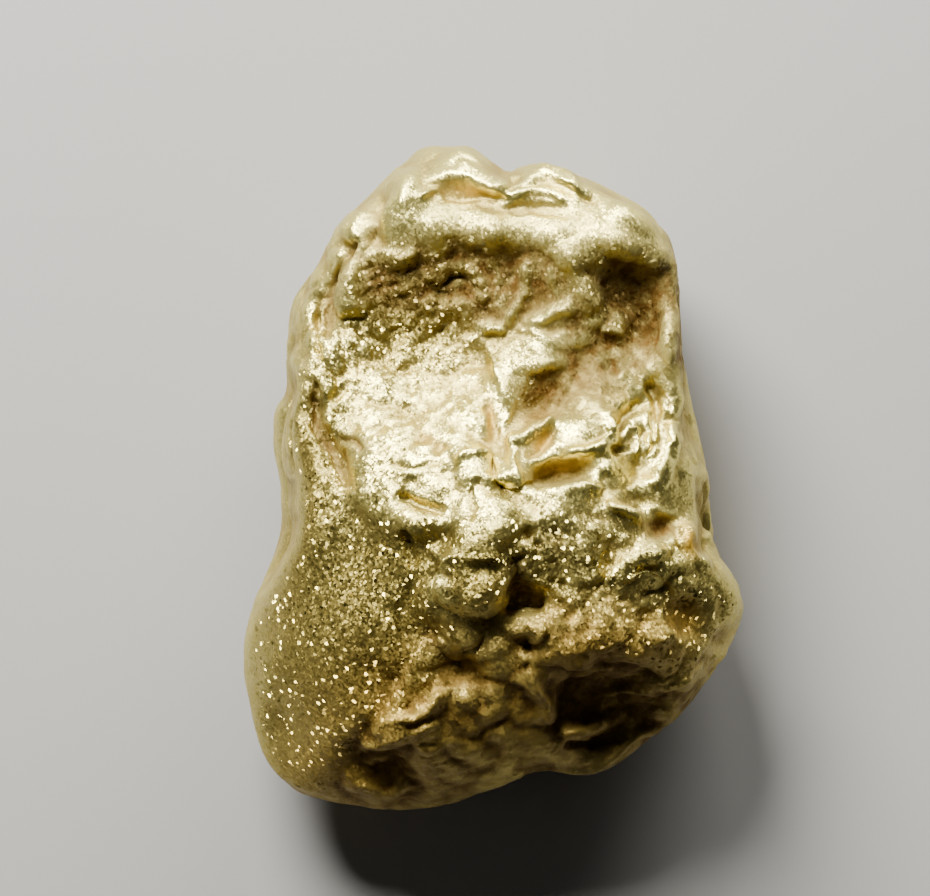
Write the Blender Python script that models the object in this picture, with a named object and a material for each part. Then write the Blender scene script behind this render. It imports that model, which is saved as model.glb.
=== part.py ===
"""Gold nugget: one solid of native gold, lying on its worn underside.

The nugget is drawn in millimetres and built in metres, with +Z up. X is its
width, Y its length, and the origin is at the bottom centre of its box. A sphere
is pulled out to the nugget's outline, its upper and under faces are given their
heights, and then ridges, creases, ledges, lumps and pits are worked into the
skin along its normals, as a sculptor would.
"""
import math
from collections import namedtuple

import bmesh
import bpy
import numpy as np

MM = 0.001

# Driving dimensions, in millimetres
WIDTH = 16.5
LENGTH = 22.0
THICKNESS = 10.8
GIRDLE_HEIGHT = 4.6
SOLE_WEAR = 0.03
TRIANGLES = 9400
SPHERE_SUBDIVISIONS = 8

# The girdle, the line round the nugget where its upper and under faces meet: how much
# it climbs along Y, and its waves as (waves round the nugget, height, start)
GIRDLE_RISE = 0.08
GIRDLE_WAVES = ((2, 0.35, 0.8), (3, 0.20, 0.0))

# How square the edges of the faces are, and the least share of a face's height
# that is left where its heights are given
EDGE_FULLNESS = 5.5
LEAST_SHARE = 0.3
# The least squared distance whose logarithm the bent plate takes
PLATE_LEAST = 1e-9

GOLD_COLOUR = (0.60, 0.44, 0.17, 1.0)
GOLD_ROUGHNESS = 0.38

# The outline seen from above, clockwise from the knob at the top
OUTLINE = (
    (-1.5, 11.05), (-0.7, 11.03), (-0.1, 10.62), (0.45, 10.3), (1.3, 10.47),
    (2.5, 10.2), (4.0, 9.55), (5.1, 8.9), (5.85, 7.9), (6.12, 6.6),
    (6.17, 5.0), (6.4, 3.3), (6.78, 1.5), (7.1, 0.0), (7.28, -1.6),
    (7.6, -2.7), (8.05, -3.3), (8.27, -4.0), (7.95, -5.2), (7.1, -6.6),
    (6.0, -7.95), (4.9, -8.8), (3.4, -9.7), (2.5, -9.75), (1.5, -9.62),
    (0.4, -10.1), (-0.8, -10.6), (-3.0, -11.0), (-5.0, -10.75), (-6.6, -10.3),
    (-7.5, -9.3), (-8.1, -7.3), (-8.28, -6.0), (-8.1, -4.5), (-7.3, -2.5),
    (-7.05, -0.4), (-7.3, 1.4), (-7.15, 2.5), (-6.93, 2.8), (-6.85, 4.3),
    (-6.5, 6.2), (-5.7, 7.25), (-5.25, 8.3), (-4.0, 9.5), (-3.1, 10.45),
    (-2.4, 10.98),
)

# Heights of the upper face, as rows of (x, z) across the nugget at each y
UPPER_ROWS = {
    10.0: ((-2.6, 8.1), (-1.0, 8.2), (0.5, 7.5), (1.8, 7.9), (2.9, 7.5)),
    9.1: ((-4.4, 7.2), (-3.0, 8.6), (-1.4, 8.4), (0.2, 8.4), (1.6, 8.4), (3.2, 8.2), (4.6, 7.4)),
    8.2: ((-5.0, 7.4), (-3.7, 8.6), (-2.0, 9.0), (0.0, 9.0), (2.0, 8.9), (3.7, 8.8), (5.2, 7.9)),
    7.2: ((-5.3, 7.6), (-4.1, 8.5), (-2.5, 8.5), (-0.9, 8.3), (0.7, 8.3), (2.2, 8.8), (3.3, 8.6),
          (4.6, 8.3), (5.6, 8.0)),
    6.1: ((-6.0, 6.9), (-5.0, 8.1), (-4.0, 8.1), (-2.5, 8.0), (-0.9, 7.9), (0.6, 7.9), (1.6, 8.0),
          (2.8, 8.4), (3.9, 7.9), (4.9, 7.6), (5.8, 7.6)),
    4.8: ((-6.3, 7.2), (-5.0, 8.0), (-3.5, 7.6), (-1.5, 7.3), (0.4, 7.7), (1.4, 8.0), (2.4, 8.1),
          (3.3, 7.8), (4.3, 7.4), (5.3, 7.3), (6.0, 7.4)),
    3.2: ((-6.4, 7.5), (-5.0, 8.1), (-3.0, 7.9), (-1.0, 8.0), (0.5, 8.5), (1.5, 8.2), (2.7, 8.1),
          (4.1, 7.8), (5.3, 7.7), (6.1, 7.4)),
    1.5: ((-6.6, 7.6), (-5.2, 8.5), (-4.0, 8.9), (-2.0, 9.1), (-0.3, 9.3), (1.0, 9.1), (2.6, 9.4),
          (3.8, 9.1), (4.9, 8.6), (6.2, 7.9)),
    0.0: ((-6.4, 7.9), (-5.0, 9.0), (-3.5, 9.8), (-1.5, 10.1), (0.3, 10.3), (2.0, 9.8), (3.6, 9.6),
          (5.0, 9.1), (6.4, 7.9)),
    -0.7: ((-6.5, 7.8), (-4.8, 9.1), (-3.0, 10.0), (-1.5, 10.4), (0.3, 10.6), (2.0, 10.3),
           (3.6, 10.0), (5.0, 9.3), (6.5, 7.8)),
    -1.6: ((-6.6, 7.6), (-4.7, 9.0), (-2.5, 10.1), (-0.6, 10.7), (0.7, 10.5), (2.0, 10.3),
           (4.0, 9.9), (5.6, 9.2), (6.8, 7.7)),
    -3.0: ((-7.1, 6.9), (-5.2, 8.5), (-3.0, 9.5), (-1.0, 10.4), (0.6, 10.2), (2.0, 10.0), (4.0, 9.7),
           (5.6, 9.1), (7.2, 7.8)),
    -4.8: ((-7.4, 6.5), (-5.6, 8.2), (-4.0, 8.8), (-2.5, 9.0), (-1.0, 9.5), (0.6, 9.5),
           (2.5, 9.7), (4.3, 9.4), (6.1, 8.5), (7.6, 6.7)),
    -5.8: ((-7.5, 6.2), (-5.6, 7.9), (-4.0, 8.4), (-2.5, 8.6), (-0.9, 8.6), (0.6, 9.1),
           (2.0, 9.4), (3.4, 9.2), (4.8, 8.9), (6.1, 8.1), (7.2, 6.5)),
    -6.7: ((-7.4, 5.9), (-5.6, 7.5), (-4.0, 8.0), (-2.5, 8.2), (-0.9, 8.3), (0.6, 8.3),
           (1.6, 8.1), (3.0, 7.3), (4.5, 7.1), (5.6, 7.3), (6.6, 6.3)),
    -8.2: ((-7.1, 5.1), (-5.3, 6.8), (-4.0, 7.4), (-2.5, 7.6), (-1.0, 7.4), (0.6, 7.1),
           (1.8, 6.9), (3.4, 6.0), (4.9, 5.3)),
    -9.7: ((-6.4, 4.9), (-5.0, 5.8), (-3.8, 5.6), (-2.0, 6.0), (-0.5, 5.6), (1.3, 5.0), (2.8, 4.9)),
}

Lump = namedtuple("Lump", "name x y across along turn height")
Stroke = namedtuple("Stroke", "name path width height")

# Broad swellings (height above 0) and hollows (below 0): millimetres and degrees
LUMPS = (
    Lump("knob at the top left corner", -2.8, 9.5, 0.7, 1.0, 0, 0.45),
    Lump("small bump on the top edge", -1.1, 10.5, 0.8, 0.45, 0, 0.3),
    Lump("yellow hollow behind the lip", -0.9, 9.4, 1.0, 0.3, 0, -0.25),
    Lump("dimple beside the leaf fold", 0.75, 9.95, 0.45, 0.3, 30, -0.3),
    Lump("right shoulder", 4.5, 8.4, 1.2, 0.7, -30, 0.25),
    Lump("left basin under the rim", -0.6, 7.1, 2.0, 0.8, 0, -0.2),
    Lump("ring pit", -1.15, 6.35, 0.75, 0.5, 15, -0.3),
    Lump("right basin", 4.4, 6.2, 1.3, 1.4, 0, -0.35),
    Lump("bump in the right basin", 3.8, 5.2, 0.6, 0.5, 0, 0.35),
    Lump("bright facet between the basins", 1.4, 4.0, 0.8, 0.7, 20, 0.4),
    Lump("brown hollow under the facet", 1.45, 2.5, 0.85, 0.65, 0, -0.5),
    Lump("greenish knob", -0.6, 0.5, 0.8, 0.6, 0, 0.25),
    Lump("long dark pit", 2.05, 0.3, 1.0, 0.42, 10, -0.7),
    Lump("orange pit over the crossing", -0.1, 1.9, 0.3, 0.75, 0, -0.15),
    Lump("pale ground right of the long pit", 3.5, 0.5, 0.5, 0.55, 0, 0.4),
    Lump("right cup", 4.95, 1.1, 0.95, 1.2, 0, -0.6),
    Lump("plateau beside the cup", 2.9, 1.6, 0.8, 0.5, 10, 0.2),
    Lump("left plate", -6.0, 1.8, 0.8, 1.8, 0, 0.25),
    Lump("valley beside the left plate", -4.9, 1.2, 0.6, 0.6, 0, -0.2),
    Lump("pit below the cup", 5.5, -1.5, 0.6, 0.5, 0, -0.5),
    Lump("brown hollow left of that pit", 4.7, -0.7, 0.6, 0.4, 0, -0.3),
    Lump("middle knob", -0.35, -3.3, 1.0, 0.9, 0, 0.4),
    Lump("deep hole", 0.95, -3.9, 0.75, 0.55, 0, -1.1),
    Lump("mound under the hole", 1.0, -4.7, 0.7, 0.5, 0, 0.35),
    Lump("small pit under the mound", 1.1, -5.4, 0.45, 0.35, 0, -0.35),
    Lump("bulge below the bright slope", -2.5, -1.4, 0.8, 0.5, 0, 0.25),
    Lump("brown hollow left of the crest", -1.7, -1.8, 0.5, 0.4, 0, -0.2),
    Lump("olive hollow inside the nose", 6.2, -4.4, 0.9, 0.8, 0, -0.4),
    Lump("nose at the right corner", 7.6, -4.0, 0.8, 1.2, 0, 0.25),
    Lump("lower left lobe", -5.0, -5.5, 2.2, 2.8, 0, 0.3),
    Lump("tan bump in the V", -2.4, -6.1, 0.7, 0.6, 0, 0.3),
    Lump("dark pit at the bottom corner", -3.8, -9.4, 0.9, 0.7, 0, -0.4),
    Lump("smooth bulge at the bottom", -1.4, -9.2, 1.3, 0.9, 0, 0.3),
    Lump("dark valley at the lower right", 3.6, -7.2, 1.8, 1.2, 0, -0.35),
)

# Rounded ridges and grooves: height above 0 raises a ridge, below 0 cuts a groove
STROKES = (
    Stroke("rim band",
           ((-3.4, 8.2), (-1.8, 8.35), (-0.3, 8.3), (1.2, 8.0), (3.2, 7.75), (4.9, 7.3)), 0.7, 0.18),
    Stroke("second ridge behind the rim", ((-2.2, 9.9), (-1.0, 9.9), (0.2, 9.75)), 0.3, 0.22),
    Stroke("leaf fold", ((1.5, 10.1), (2.0, 9.9), (2.7, 9.6)), 0.25, 0.2),
    Stroke("crease under the leaf", ((0.9, 9.6), (1.7, 9.65), (2.5, 9.4)), 0.2, -0.2),
    Stroke("striation on the rim", ((0.5, 8.95), (1.5, 8.95), (2.4, 8.8)), 0.12, -0.1),
    Stroke("valley beside the knob", ((-3.6, 9.7), (-3.9, 9.1), (-4.0, 8.2), (-3.7, 7.6)), 0.28, -0.4),
    Stroke("outer ridge of the left flank", ((-4.4, 9.1), (-4.7, 8.5), (-4.5, 7.9)), 0.3, 0.3),
    Stroke("upright ridge on the flank", ((-4.6, 7.3), (-4.7, 6.5), (-4.6, 5.5)), 0.4, 0.25),
    Stroke("fold groove on the flank",
           ((-4.7, 8.0), (-5.0, 7.1), (-5.35, 6.3), (-5.4, 5.4), (-5.3, 4.5)), 0.3, -0.4),
    Stroke("lip of the left basin", ((-3.6, 7.5), (-3.0, 7.35), (-2.4, 7.45)), 0.25, 0.18),
    Stroke("crease across the left basin", ((-4.0, 6.4), (-3.2, 6.8), (-2.2, 7.0)), 0.35, -0.15),
    Stroke("rim of the ring pit",
           ((-1.9, 6.3), (-1.5, 6.9), (-0.9, 7.0), (-0.45, 6.5), (-0.4, 5.7)), 0.22, 0.18),
    Stroke("rib between the basins", ((1.0, 7.3), (1.1, 6.5), (0.8, 5.7), (0.5, 5.0)), 0.25, 0.2),
    Stroke("ridge between the basins",
           ((2.2, 7.8), (2.6, 7.0), (2.9, 6.2), (3.3, 5.5)), 0.4, 0.25),
    Stroke("bright streak", ((1.1, 5.0), (1.8, 5.4), (2.7, 5.9)), 0.3, 0.28),
    Stroke("bright line on the floor", ((-0.3, 5.0), (0.4, 4.85)), 0.2, 0.2),
    Stroke("lip of the left plate",
           ((-5.85, 3.4), (-5.9, 2.2), (-5.5, 1.3), (-5.05, 0.5), (-4.9, -0.3)), 0.3, -0.5),
    Stroke("sliver on the left edge", ((-7.0, 2.6), (-7.1, 1.3), (-6.95, 0.0)), 0.3, 0.25),
    Stroke("ridge above the orange pit", ((0.4, 1.1), (1.0, 1.4), (1.6, 1.8), (2.1, 2.05)), 0.2, 0.3),
    Stroke("ridge round the plateau", ((2.1, 0.9), (3.2, 1.0), (3.9, 1.4), (3.6, 2.2)), 0.22, 0.28),
    Stroke("lower lip of the dark pit", ((0.8, -0.3), (2.0, -0.45), (3.5, -0.3)), 0.3, 0.25),
    Stroke("crest line",
           ((-5.0, 0.0), (-3.8, -0.9), (-2.4, -1.4), (0.0, -1.6), (1.8, -1.1), (3.6, -0.5)), 0.5, 0.22),
    Stroke("rim of the cup", ((5.9, 2.0), (5.95, 1.2), (5.7, 0.4), (5.2, -0.2)), 0.25, 0.3),
    Stroke("ribs above the cup", ((4.0, 1.6), (4.3, 2.2), (4.85, 2.8)), 0.2, -0.3),
    Stroke("second rib above the cup", ((5.0, 3.4), (5.3, 2.6), (5.4, 2.0)), 0.2, -0.25),
    Stroke("crease under the bright slope", ((-3.2, -0.4), (-2.3, -0.8), (-1.5, -1.0)), 0.2, -0.25),
    Stroke("crease beside the bulge", ((-2.9, -1.6), (-2.7, -2.2), (-2.5, -2.9)), 0.25, -0.15),
    Stroke("thin ridge by the right pits", ((3.6, -0.7), (4.2, -1.0), (4.9, -1.2)), 0.2, 0.25),
    Stroke("bright ridge above the nose", ((3.8, -2.8), (4.5, -2.5), (5.6, -2.3)), 0.3, 0.35),
    Stroke("crease under that ridge", ((5.8, -3.3), (5.2, -3.55), (4.6, -3.6)), 0.25, -0.22),
    Stroke("fold down the right edge", ((6.85, 0.2), (7.0, -1.0), (7.1, -2.2), (7.3, -2.9)), 0.22, -0.3),
    Stroke("slot beside the middle knob", ((0.55, -2.3), (0.75, -2.9), (0.95, -3.5)), 0.28, -0.6),
    Stroke("cleft left of the middle knob", ((-1.5, -2.5), (-1.7, -3.3), (-1.3, -4.2)), 0.3, -0.3),
    Stroke("V groove",
           ((-2.4, -4.9), (-1.6, -5.5), (-1.1, -5.8), (-0.6, -5.4), (-0.2, -5.0)), 0.28, -0.4),
    Stroke("edge of the left lobe",
           ((-2.5, -2.9), (-2.9, -4.4), (-2.8, -5.5), (-3.3, -6.8), (-4.2, -8.2), (-5.0, -9.1)),
           0.35, -0.15),
    Stroke("first lower ridge",
           ((-4.0, -8.2), (-3.2, -7.85), (-2.2, -7.4), (-1.6, -6.95), (-0.8, -6.9)), 0.35, 0.25),
    Stroke("second lower ridge", ((-4.3, -8.8), (-3.4, -8.5), (-2.6, -8.3), (-1.7, -7.9)), 0.3, 0.25),
    Stroke("rim of the bottom pit",
           ((-4.9, -9.9), (-4.2, -10.3), (-3.4, -10.4), (-2.8, -9.8)), 0.3, 0.35),
    Stroke("ridge left of the dark valley", ((1.0, -6.1), (1.5, -6.9), (1.8, -8.0)), 0.35, 0.4),
    Stroke("ridge inside the dark valley", ((2.2, -8.4), (3.0, -8.2), (3.8, -7.9)), 0.3, 0.35),
    Stroke("crease inside the dark valley", ((2.2, -8.8), (3.3, -8.7), (4.6, -8.4)), 0.25, -0.2),
    Stroke("lower ridge on the bottom edge",
           ((2.1, -9.5), (3.1, -9.5), (4.6, -8.8), (5.4, -8.1)), 0.3, 0.25),
)

UNDER_LUMPS = (
    Lump("hollow near the top end", 1.5, 7.0, 2.4, 1.6, 20, 0.9),
    Lump("hollow on the left", -4.8, 2.0, 1.6, 2.6, 10, 0.8),
    Lump("scoop at the lower end", 0.5, -7.6, 2.4, 1.5, -15, 1.0),
    Lump("pit near the right side", 5.2, -2.6, 1.3, 1.1, 0, 0.7),
    Lump("small pit", -2.6, 7.6, 0.9, 0.8, 0, 0.6),
)
# The under face bulges below the ground at its middle and climbs to its edges
UNDER_CENTRE_DROP = 0.50
UNDER_RISE_ACROSS = 0.020
UNDER_RISE_ALONG = 0.010

# Folds and grooves round the sides, as paths of (x, y, z) near the skin
SEAMS = (
    Stroke("fold along the left side",
           ((-6.6, 5.0, 5.6), (-7.3, 1.5, 4.6), (-7.4, -2.0, 4.4), (-8.2, -5.0, 3.0)),
           0.45, -0.45),
    Stroke("roll under the left fold", ((-6.8, 4.0, 3.6), (-7.2, 0.5, 3.0), (-7.6, -3.0, 2.4)), 0.7, 0.4),
    Stroke("groove down the top end",
           ((0.4, 10.2, 7.6), (0.3, 10.4, 5.6), (1.2, 10.0, 3.4), (1.0, 8.8, 1.2)),
           0.4, -0.3),
    Stroke("ridge on the top end", ((-2.0, 10.8, 7.0), (-2.4, 10.6, 4.6), (-1.6, 9.6, 2.0)), 0.6, 0.35),
    Stroke("fold round the right shoulder",
           ((4.6, 9.0, 6.6), (5.9, 7.4, 5.2), (6.2, 4.6, 4.8), (6.5, 2.4, 3.2)),
           0.45, -0.45),
    Stroke("roll on the right side", ((6.1, 6.4, 6.2), (6.4, 3.4, 5.6), (7.0, 0.4, 5.4)), 0.5, 0.3),
    Stroke("cleft above the nose",
           ((6.9, -0.4, 6.6), (7.3, -1.8, 5.0), (7.6, -2.8, 3.4), (6.6, -3.4, 1.4)),
           0.45, -0.5),
    Stroke("crease under the nose", ((7.6, -5.8, 5.4), (7.2, -6.0, 3.6), (5.6, -6.6, 1.6)), 0.4, -0.4),
    Stroke("notch at the bottom edge", ((1.5, -9.5, 4.9), (1.4, -9.6, 3.8), (1.0, -8.8, 1.6)), 0.5, -0.6),
    Stroke("fold at the bottom end",
           ((-5.8, -10.2, 3.2), (-3.6, -10.6, 3.0), (-1.0, -10.3, 2.8)), 0.5, -0.3),
    Stroke("roll across the bottom end",
           ((-5.6, -9.8, 2.2), (-2.6, -10.2, 1.8), (0.0, -9.8, 1.6)), 0.5, 0.3),
    Stroke("crack across the underside",
           ((-4.4, 4.6, 0.5), (-2.0, 5.6, 0.2), (0.6, 5.2, 0.2), (3.4, 6.0, 0.8)),
           0.35, -0.4),
)

# Dents and bumps left by tumbling, strewn over the sides and the underside
KNOCKS = 80
KNOCK_REACH = (0.7, 1.6)
KNOCK_DEPTH = (-0.50, 0.28)

# Crumpled ground between the folds of the upper face: patches and their roughness
CRUMPLED = (
    Lump("floor of the left basin", -2.2, 5.0, 2.6, 2.2, 10, 0.14),
    Lump("bright slope", -2.4, 1.2, 3.0, 2.4, 0, 0.16),
    Lump("ground round the cup", 4.6, 2.8, 2.0, 3.2, 0, 0.20),
    Lump("ground below the crest", 2.4, -2.4, 3.6, 2.0, 0, 0.18),
    Lump("ground round the middle knob", -1.0, -4.6, 2.2, 3.0, 0, 0.20),
    Lump("lower right", 4.4, -6.6, 3.6, 2.8, 0, 0.22),
    Lump("lower middle", -2.0, -8.2, 3.4, 2.0, 0, 0.16),
    Lump("left flank", -5.4, 4.8, 1.2, 3.6, 0, 0.18),
    Lump("rim", 0.6, 9.3, 4.8, 1.2, 0, 0.06),
    Lump("wall under the rim", 0.4, 7.2, 5.0, 1.0, 0, 0.10),
    Lump("right basin", 4.4, 5.8, 1.8, 2.0, 0, 0.12),
    Lump("hollow under the facet", 1.5, 2.8, 1.4, 1.3, 0, 0.16),
)
CRUMPLE_SIZE = 1.25

# How what is drawn on the skin wavers: size of the waves and their reach
CRUMPLE_WAVER = (1.6, 0.62)
STROKE_WAVER = (0.9, 0.16)

# Soft unevenness of the whole skin: size of the waves, height above, height below
UNDULATION = ((5.0, 0.20, 0.60), (2.4, 0.12, 0.36), (1.1, 0.05, 0.12))
NOISE_SEED = 11
NOISE_CELLS = 24
NOISE_GAIN = 1.6
NOISE_SHIFT = 7.3

# How the skin is worked: steps between corners of smooth paths, how full the bells of
# lumps are, how far strokes reach and how steeply they taper, which ways the skin may
# face for each kind of detail, and rounds of calming its normals
PATH_STEPS = 4
BELL_FULLNESS = 1.25
STROKE_MARGIN = 2.5
STROKE_TAPER = 6
UPPER_FADE = (-0.1, 0.35)
SIDE_FADE = (0.45, -0.05)
ABOVE_FADE = (-0.5, 0.5)
CALM_ROUNDS = 30

# How the outline is kept: steps round it, turns that calm its small notches, and how
# sharply the pull fades inwards
OUTLINE_STEPS = 240
CALM_TURNS = (-0.16, -0.08, 0.0, 0.08, 0.16)
EDGE_PULL = 6


def outline_radius(angle):
    """Radius of the outline at each angle: a periodic cubic through its points."""
    corners = np.array(OUTLINE)
    at = np.arctan2(corners[:, 1], corners[:, 0])
    order = np.argsort(at)
    at, radius = at[order], np.hypot(corners[:, 0], corners[:, 1])[order]
    at = np.concatenate((at[-2:] - 2 * math.pi, at, at[:2] + 2 * math.pi))
    radius = np.concatenate((radius[-2:], radius, radius[:2]))
    slope = np.gradient(radius, at)
    angle = (angle + math.pi) % (2 * math.pi) - math.pi
    left = np.clip(np.searchsorted(at, angle) - 1, 0, len(at) - 2)
    span = at[left + 1] - at[left]
    t = (angle - at[left]) / span
    ends = (1 - t) ** 2 * ((1 + 2 * t) * radius[left] + t * span * slope[left])
    return ends + t * t * ((3 - 2 * t) * radius[left + 1] - (1 - t) * span * slope[left + 1])


def calm_radius(angle):
    """The outline without its small notches: a mean over its neighbours."""
    return sum(outline_radius(angle + turn) for turn in CALM_TURNS) / len(CALM_TURNS)


def edge_share(reach):
    """How much of a face's height is left at each share of the outline's radius."""
    return np.sqrt(np.clip(1 - reach ** EDGE_FULLNESS, 0, 1))


def girdle_height(x, y):
    """Height of the line round the nugget where the upper face meets the under face."""
    angle = np.arctan2(y, x)
    waves = sum(height * np.sin(count * angle + start) for count, height, start in GIRDLE_WAVES)
    return GIRDLE_HEIGHT + GIRDLE_RISE * y + waves


def upper_height(x, y):
    """Upper face above the girdle before its edges round off: a thin plate bent
    through the rows of heights."""
    known = np.array([(kx, ky, kz) for ky, row in UPPER_ROWS.items() for kx, kz in row])
    kx, ky, kz = known.T
    reach = np.hypot(kx, ky) / outline_radius(np.arctan2(ky, kx))
    rise = (kz - girdle_height(kx, ky)) / np.maximum(edge_share(reach), LEAST_SHARE)

    def plate(ax, ay):
        square = (ax[:, None] - kx) ** 2 + (ay[:, None] - ky) ** 2
        return square * np.log(square + PLATE_LEAST)

    size = len(known)
    flat = np.column_stack((np.ones(size), kx, ky))
    system = np.zeros((size + 3, size + 3))
    system[:size, :size] = plate(kx, ky)
    system[:size, size:] = flat
    system[size:, :size] = flat.T
    weight = np.linalg.solve(system, np.append(rise, np.zeros(3)))
    return plate(x, y) @ weight[:size] + np.column_stack((np.ones(len(x)), x, y)) @ weight[size:]


def smooth_noise(points, seed):
    """Soft noise between about -1 and 1: random slopes on a lattice, blended in
    each cube."""
    slopes = np.random.default_rng(seed).normal(size=(NOISE_CELLS,) * 3 + (3,))
    slopes /= np.linalg.norm(slopes, axis=3, keepdims=True)
    base = np.floor(points).astype(int)
    part = points - base
    blend = part ** 3 * (part * (part * 6 - 15) + 10)
    total = np.zeros(len(points))
    for corner in np.ndindex(2, 2, 2):
        share = np.prod(np.where(corner, blend, 1 - blend), axis=1)
        cell = (base + corner) % NOISE_CELLS
        slope = slopes[cell[:, 0], cell[:, 1], cell[:, 2]]
        total += share * ((part - corner) * slope).sum(1)
    return NOISE_GAIN * total


def rounded_path(path):
    """Points along a smooth curve through a path's corners."""
    ends = np.array(path)
    ends = np.vstack((2 * ends[0] - ends[1], ends, 2 * ends[-1] - ends[-2]))
    t = np.arange(PATH_STEPS)[:, None] / PATH_STEPS
    runs = []
    for a, b, c, d in zip(ends, ends[1:], ends[2:], ends[3:]):
        curve = 2 * b + (c - a) * t + (2 * a - 5 * b + 4 * c - d) * t ** 2
        runs.append((curve + (3 * b - a - 3 * c + d) * t ** 3) / 2)
    return np.vstack(runs + [ends[-2:-1]])


def distance_along(points, path):
    """Each point's distance to a path, and how far along it that is, 0 to 1."""
    line = rounded_path(path)
    start, step = line[:-1], np.diff(line, axis=0)
    length = np.linalg.norm(step, axis=1)
    offset = points[:, None] - start
    t = np.clip((offset * step).sum(2) / length ** 2, 0, 1)
    gap = np.linalg.norm(offset - t[:, :, None] * step, axis=2)
    nearest = gap.argmin(1)
    rows = np.arange(len(points))
    done = np.append(0, np.cumsum(length))[nearest] + t[rows, nearest] * length[nearest]
    return gap[rows, nearest], done / length.sum()


def lump_lift(points, lump):
    """A bell over an ellipse: full height in the middle, nothing past its edge."""
    turn = math.radians(lump.turn)
    x, y = points[:, 0] - lump.x, points[:, 1] - lump.y
    u = (x * math.cos(turn) + y * math.sin(turn)) / lump.across
    v = (y * math.cos(turn) - x * math.sin(turn)) / lump.along
    return lump.height * np.exp(-(u * u + v * v) ** BELL_FULLNESS)


def stroke_lift(points, stroke, path=None):
    """A rounded bar along a path that thins out towards both its ends."""
    path = np.array(stroke.path) if path is None else path
    margin = STROKE_MARGIN * stroke.width
    places = points[:, :path.shape[1]]
    near = ((places > path.min(0) - margin) & (places < path.max(0) + margin)).all(1)
    gap, share = distance_along(places[near], path)
    taper = np.sqrt(np.clip(STROKE_TAPER * share * (1 - share), 0, 1))
    lift = np.zeros(len(points))
    lift[near] = stroke.height * taper * np.exp(-(gap / stroke.width) ** 2)
    return lift


def vertex_normals(points, faces):
    """Unit normal of each vertex: the mean of the turns at its faces' corners."""
    total = np.zeros_like(points)
    count = faces.shape[1]
    for i in range(count):
        here = points[faces[:, i]]
        turn = np.cross(points[faces[:, (i + 1) % count]] - here, points[faces[:, i - 1]] - here)
        for axis in range(3):
            total[:, axis] += np.bincount(faces[:, i], turn[:, axis], len(points))
    return total / np.linalg.norm(total, axis=1, keepdims=True)


def calmed(values, faces, rounds):
    """Values evened out over the skin: each round mixes in the mean of the neighbours."""
    count = faces.shape[1]
    here = faces.ravel()
    there = faces[:, [(i + 1) % count for i in range(count)]].ravel()
    near = np.bincount(here, minlength=len(values))
    for _ in range(rounds):
        total = [np.bincount(here, column[there], len(values)) for column in values.T]
        values = (values + np.column_stack(total) / near[:, None]) / 2
    return values


def fade(values, bounds):
    """0 at the first bound, rising evenly to 1 at the second."""
    start, end = bounds
    return np.clip((values - start) / (end - start), 0, 1)


def rough_body(sphere):
    """The nugget without its detail: outline across, heights of both faces up."""
    angle = np.arctan2(sphere[:, 1], sphere[:, 0])
    reach = np.clip(np.hypot(sphere[:, 0], sphere[:, 1]), 0, 1)
    radius = calm_radius(angle) * reach
    x, y = radius * np.cos(angle), radius * np.sin(angle)
    under = UNDER_RISE_ACROSS * x * x + UNDER_RISE_ALONG * y * y - UNDER_CENTRE_DROP
    for lump in UNDER_LUMPS:
        under = under + lump_lift(np.column_stack((x, y)), lump)
    girdle = girdle_height(x, y)
    rise = np.where(sphere[:, 2] > 0, upper_height(x, y), under - girdle)
    return np.column_stack((x, y, girdle + rise * edge_share(reach)))


def on_skin(points, path):
    """A path's corners, each moved to the nearest point of the skin."""
    corners = np.array(path)
    return np.array([points[((points - corner) ** 2).sum(1).argmin()] for corner in corners])


def knock_lift(points, sphere, shade):
    """Round dents and bumps strewn in random directions, kept where shade, the
    side's share, is high."""
    pick = np.random.default_rng(NOISE_SEED)
    lift = np.zeros(len(points))
    for _ in range(KNOCKS):
        place = points[(sphere @ pick.normal(size=3)).argmax()]
        square = ((points - place) ** 2).sum(1) / pick.uniform(*KNOCK_REACH) ** 2
        lift += pick.uniform(*KNOCK_DEPTH) * np.exp(-square ** BELL_FULLNESS)
    return lift * shade


def pebbles(points, seed):
    """Rounded lumps with sharp creases between them: height falls from 1 with the
    squared distance to the nearest of the random middles, one in each unit cube."""
    middles = np.random.default_rng(seed).uniform(0, 1, (NOISE_CELLS,) * 3 + (3,))
    base = np.floor(points).astype(int)
    nearest = np.full(len(points), np.inf)
    for step in np.ndindex(3, 3, 3):
        cube = base + np.array(step) - 1
        cell = cube % NOISE_CELLS
        middle = cube + middles[cell[:, 0], cell[:, 1], cell[:, 2]]
        nearest = np.minimum(nearest, ((points - middle) ** 2).sum(1))
    return 1 - 2 * nearest


def wavering(points, size, reach):
    """The points moved about by soft noise, so that what is drawn on them wavers."""
    moves = [smooth_noise(points / size + axis * NOISE_SHIFT, NOISE_SEED) for axis in range(3)]
    return points + reach * np.column_stack(moves)


def crumple_lift(points):
    """Lumps and creases where the upper face is crumpled."""
    lumps = pebbles(wavering(points, *CRUMPLE_WAVER) / CRUMPLE_SIZE, NOISE_SEED)
    return lumps * sum(lump_lift(points, patch) for patch in CRUMPLED)


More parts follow.
